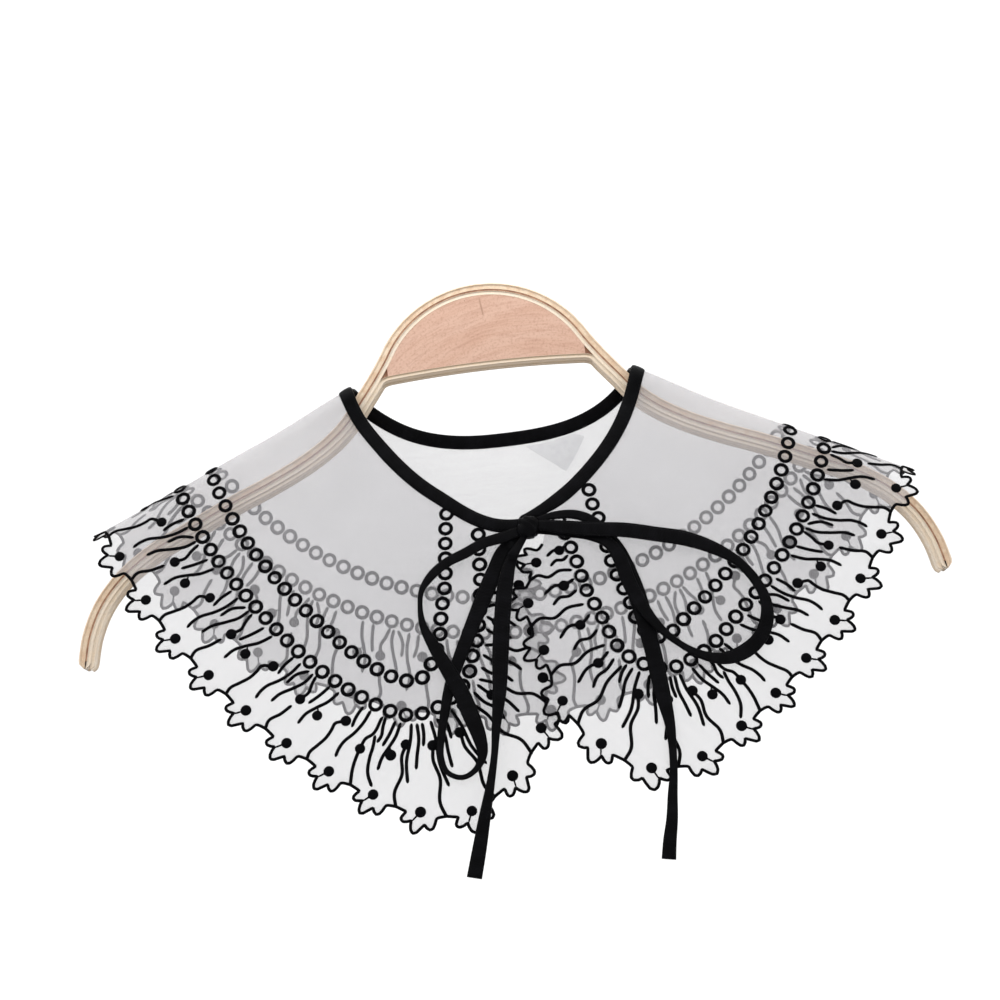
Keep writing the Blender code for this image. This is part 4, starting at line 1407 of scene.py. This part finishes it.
# Hanger
hangerValues = {
    "depth": 11.0,
    "archRadius": 59.5,
    "archHalf": 61.5,
    "outerPly": 3.8,
    "lining": 2.45,
    "chordPly": 2.4,
    "chordCentre": -40.2,
    "chordEnd": -42.3,
    "junction": 50.3,
    "chordStraight": 48.6,  # mm from the middle to where the chord strip starts to bend down
    "armFrom": 55.2,  # where it runs beside the lining
    "glue": 0.42,  # mm of half the glue line
    "overlap": 0.06,
    "plateReach": 50.4,
    "plateSunk": 0.16,
    "wedge": (48.0, 56.0),
    "corner": 0.95,
    "tip": 4.2,
    "armLine": (
        (56.5, -44.0), (65.0, -55.0), (72.5, -64.5), (82.5, -73.0), (92.0, -79.0), (111.5, -88.5),
        (131.0, -96.5), (154.0, -107.0), (175.5, -117.5), (191.5, -129.5), (201.0, -141.0),
        (207.0, -153.5), (211.0, -170.0),
    ),
    "stations": 150,
}


def glueLine():
    v = hangerValues
    radius = v["archRadius"] - v["outerPly"]
    angles = np.radians(np.linspace(0, v["archHalf"], 14))
    arch = np.stack([radius * np.sin(angles), radius * np.cos(angles) - v["archRadius"]], axis=-1)
    return curveThrough(np.concatenate([arch, np.array(v["armLine"])]) * mm, v["stations"])


def chordTop(x):
    v = hangerValues
    return (v["chordCentre"] + (v["chordEnd"] - v["chordCentre"]) * (x / mm / v["junction"]) ** 2) * mm


def bothSides(half):
    return np.concatenate([half[:0:-1] * np.array((-1, 1)), half])


def moved(line, distance):
    ahead = unit(np.gradient(line, axis=0))
    return line + np.stack([-ahead[:, 1], ahead[:, 0]], axis=-1) * np.asarray(distance)[..., None]


def tipRound(line):
    # 1 along a strip, falling off round its two tips
    share = np.clip(fromEnds(line) / (hangerValues["tip"] * mm), 0, 1)
    return np.sqrt(np.clip(1 - (1 - share) ** 2, 0.02, 1))


def stripRing(topRound, lowRound):
    # corners of a bent strip's section: share of the height and depth, with rounded corners
    ring = []
    steps = np.radians(np.linspace(0, 90, 4))
    for sideY, top in ((-1, True), (1, True), (1, False), (-1, False)):
        turned = steps if (sideY > 0) == top else steps[::-1]
        radius = topRound if top else lowRound
        for angle in turned:
            ring.append((sideY, top, radius, angle))
    return ring


def buildStrip(name, top, low, topRound, lowRound, material, depth, smooth=True):
    # top and low are matching lines in X and Z
    half = depth / 2
    thick = np.linalg.norm(top - low, axis=1)
    down = (low - top) / np.maximum(thick, 1e-9)[:, None]
    along = lengthsAlong((top + low) / 2)
    columns = []
    for sideY, isTop, radius, angle in stripRing(topRound, lowRound):
        reach = np.minimum(radius, thick * 0.45)
        sink = reach * (1 - math.sin(angle))
        inset = reach * (1 - math.cos(angle))
        base = top + down * sink[:, None] if isTop else low - down * sink[:, None]
        y = sideY * (half - inset)
        columns.append(np.stack([base[:, 0], y, base[:, 1]], axis=-1))
    return sweep(name, np.stack(columns, axis=1), along * 10, material, "grain", smooth)


def buildHanger():
    v = hangerValues
    half = glueLine()
    whole = bothSides(half)
    nose = tipRound(whole)
    depth = v["depth"] * mm
    outer = buildStrip(
        "hangerOuterPly",
        moved(whole, v["outerPly"] * mm * nose),
        moved(whole, v["glue"] * mm * nose),
        v["corner"] * mm, 0.2 * mm, outerWood, depth,
    )
    glue = buildStrip(
        "hangerGlueLine",
        moved(whole, (v["glue"] + 0.02) * mm * nose)[2:-2],
        moved(whole, -(v["glue"] + 0.02) * mm * nose)[2:-2],
        0.05 * mm, 0.05 * mm, glueWood, depth - 0.3 * mm,
    )
    lining = buildStrip(
        "hangerLining",
        moved(whole, -v["glue"] * mm * nose),
        moved(whole, -v["lining"] * mm * nose),
        0.15 * mm, 0.1 * mm, innerWood, depth,
    )
    # one strip runs along the chord and bends down beside the lining at each end
    chordHalf = v["chordPly"] / 2 * mm
    chordX = np.linspace(0, v["chordStraight"], 24) * mm
    chord = np.stack([chordX, chordTop(chordX) - chordHalf], axis=-1)
    beside = moved(half, -(v["lining"] - v["overlap"]) * mm - chordHalf)
    beside = beside[half[:, 0] > v["armFrom"] * mm]
    route = evenlySpaced(curveThrough(np.concatenate([chord, beside]), 400), 190)
    route = bothSides(route)
    nose = tipRound(route)
    stripTop = moved(route, chordHalf)
    stripLow = moved(route, -chordHalf * (2 * nose - 1))
    strip = buildStrip(
        "hangerChordStrip", stripTop, stripLow, 0.12 * mm, v["corner"] * mm, innerWood, depth
    )
    # the plate fills the half moon between the lining and the chord strip
    underLining = moved(whole, (v["overlap"] - v["lining"]) * mm)
    rim = underLining[np.abs(underLining[:, 0]) < v["plateReach"] * mm]
    rim = rim[rim[:, 1] > chordTop(rim[:, 0])]
    foot = np.stack([rim[:, 0], chordTop(rim[:, 0]) - v["overlap"] * mm], axis=-1)
    sunk = depth - v["plateSunk"] * mm
    plate = buildStrip("hangerPlate", rim, foot, 0.05 * mm, 0.05 * mm, plateShade(), sunk, False)
    # dried glue shows in the corner where the chord strip turns away from the lining
    pieces = [outer, glue, lining, strip, plate]
    first, last = (reach * mm for reach in v["wedge"])
    for side in (-1, 1):
        corner = underLining[(underLining[:, 0] * side > first) & (underLining[:, 0] * side < last)]
        below = np.array([route[np.abs(route[:, 0] - x).argmin()] for x in corner[:, 0]])
        name = "hangerGlueCornerLeft" if side < 0 else "hangerGlueCornerRight"
        pieces.append(buildStrip(name, corner, below, 0.05 * mm, 0.05 * mm, glueWood, depth - 2.0 * mm))
    return pieces


glueWood = glueShade()
hangerPieces = buildHanger()
print("hanger made")


# Stage, light, camera
stageValues = {"floor": -0.75, "back": 2.4, "front": -4.0, "half": 5.0, "bend": 0.9, "top": 4.0}


def buildStage():
    v = stageValues
    bend = np.radians(np.linspace(0, 90, 17))
    line = [(v["front"], v["floor"])]
    for angle in bend:
        y = v["back"] - v["bend"] + v["bend"] * math.sin(angle)
        line.append((y, v["floor"] + v["bend"] * (1 - math.cos(angle))))
    line.append((v["back"], v["top"]))
    points = [(x, y, z) for y, z in line for x in (-v["half"], v["half"])]
    faces = [(2 * row, 2 * row + 1, 2 * row + 3, 2 * row + 2) for row in range(len(line) - 1)]
    mesh = bpy.data.meshes.new("paleStage")
    mesh.from_pydata(points, [], faces)
    for face in mesh.polygons:
        face.use_smooth = True
    stage = makeObject("paleStage", mesh, stageShade())


def addLight(name, place, aim, size, power):
    lamp = bpy.data.lights.new(name, "AREA")
    lamp.shape, lamp.size, lamp.energy = "SQUARE", size, power
    thing = bpy.data.objects.new(name, lamp)
    bpy.context.scene.collection.objects.link(thing)
    thing.location = place
    thing.rotation_euler = (Vector(aim) - Vector(place)).to_track_quat("-Z", "Y").to_euler()


cameraValues = {
    "lens": 79.2,
    "sensor": 36.0,
    "place": (-0.005154, -1.06606, -0.313229),
    "right": (0.993207, 0.01828, -0.114938),
    "up": (0.116329, -0.18649, 0.975547),
}
lightValues = {
    # place, aim, side in metres, watts
    "key": ((-1.6, -2.2, 1.6), (0, 0, -0.15), 2.0, 14.0),
    "fill": ((2.2, -2.0, 0.4), (0, 0, -0.15), 2.4, 6.0),
    "rim": ((0.4, 1.6, 1.8), (0, 0, -0.15), 1.6, 6.0),
    "wash": ((0.0, 0.4, 1.2), (0, 2.6, 0.2), 2.5, 26.0),
}


def buildCamera():
    v = cameraValues
    lens = bpy.data.cameras.new("view")
    lens.lens, lens.sensor_width = v["lens"], v["sensor"]
    camera = bpy.data.objects.new("view", lens)
    bpy.context.scene.collection.objects.link(camera)
    right, up = Vector(v["right"]), Vector(v["up"])
    back = right.cross(up).normalized()
    right = up.cross(back).normalized()
    turned = camera.matrix_world.to_3x3()
    for row in range(3):
        turned[row] = (right[row], up[row], back[row])
    camera.rotation_euler = turned.to_euler()
    camera.location = v["place"]
    bpy.context.scene.camera = camera


buildStage()
for name, values in lightValues.items():
    addLight(name, *values)
world = bpy.data.worlds.new("studio")
world.use_nodes = True
world.node_tree.nodes["Background"].inputs["Color"].default_value = (1.0, 1.0, 1.0, 1.0)
world.node_tree.nodes["Background"].inputs["Strength"].default_value = 0.7
bpy.context.scene.world = world
bpy.context.scene.view_settings.view_transform = "Standard"
buildCamera()

# What each piece is
embroidery = [rings, dotPieces, stemPieces, linkPieces, edgePiece]
rides = {
    panel: ("organza", ("collar_panel",)),
    binding: ("black_satin", ("neck_binding",)),
    label: ("label_film", ("neck_label",)),
    knot: ("black_satin", ("bow_knot",)),
    strands["bowLoopLeft"][0]: ("black_satin", ("bow_loop_left",)),
    strands["bowLoopRight"][0]: ("black_satin", ("bow_loop_right",)),
    strands["tieTailLeft"][0]: ("black_satin", ("tie_tail_left",)),
    strands["tieTailRight"][0]: ("black_satin", ("tie_tail_right",)),
    hangerPieces[0]: ("pale_wood", ("hanger_outer_ply",)),
    hangerPieces[1]: ("pale_wood", ()),
    hangerPieces[2]: ("pale_wood", ("hanger_arch_lining",)),
    hangerPieces[3]: ("pale_wood", ("hanger_inner_ply",)),
    hangerPieces[4]: ("plate_wood", ("hanger_plate",)),
    hangerPieces[5]: ("pale_wood", ()),
    hangerPieces[6]: ("pale_wood", ()),
    **{piece: ("black_satin", ()) for piece in embroidery},
}
for piece, (slot, nodes) in rides.items():
    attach(piece, "root")
    if nodes:
        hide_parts(*nodes)

strandFacts = {
    "bowLoopLeft": ("object", "loose"),
    "bowLoopRight": ("object", "loose"),
    "tieTailLeft": ("bare", "hanging"),
    "tieTailRight": ("bare", "hanging"),
}
for name, (farEnd, lay) in strandFacts.items():
    strand, line = strands[name]
    [tuple(float(value) for value in point) for point in line[::3]] + [tuple(map(float, line[-1]))]
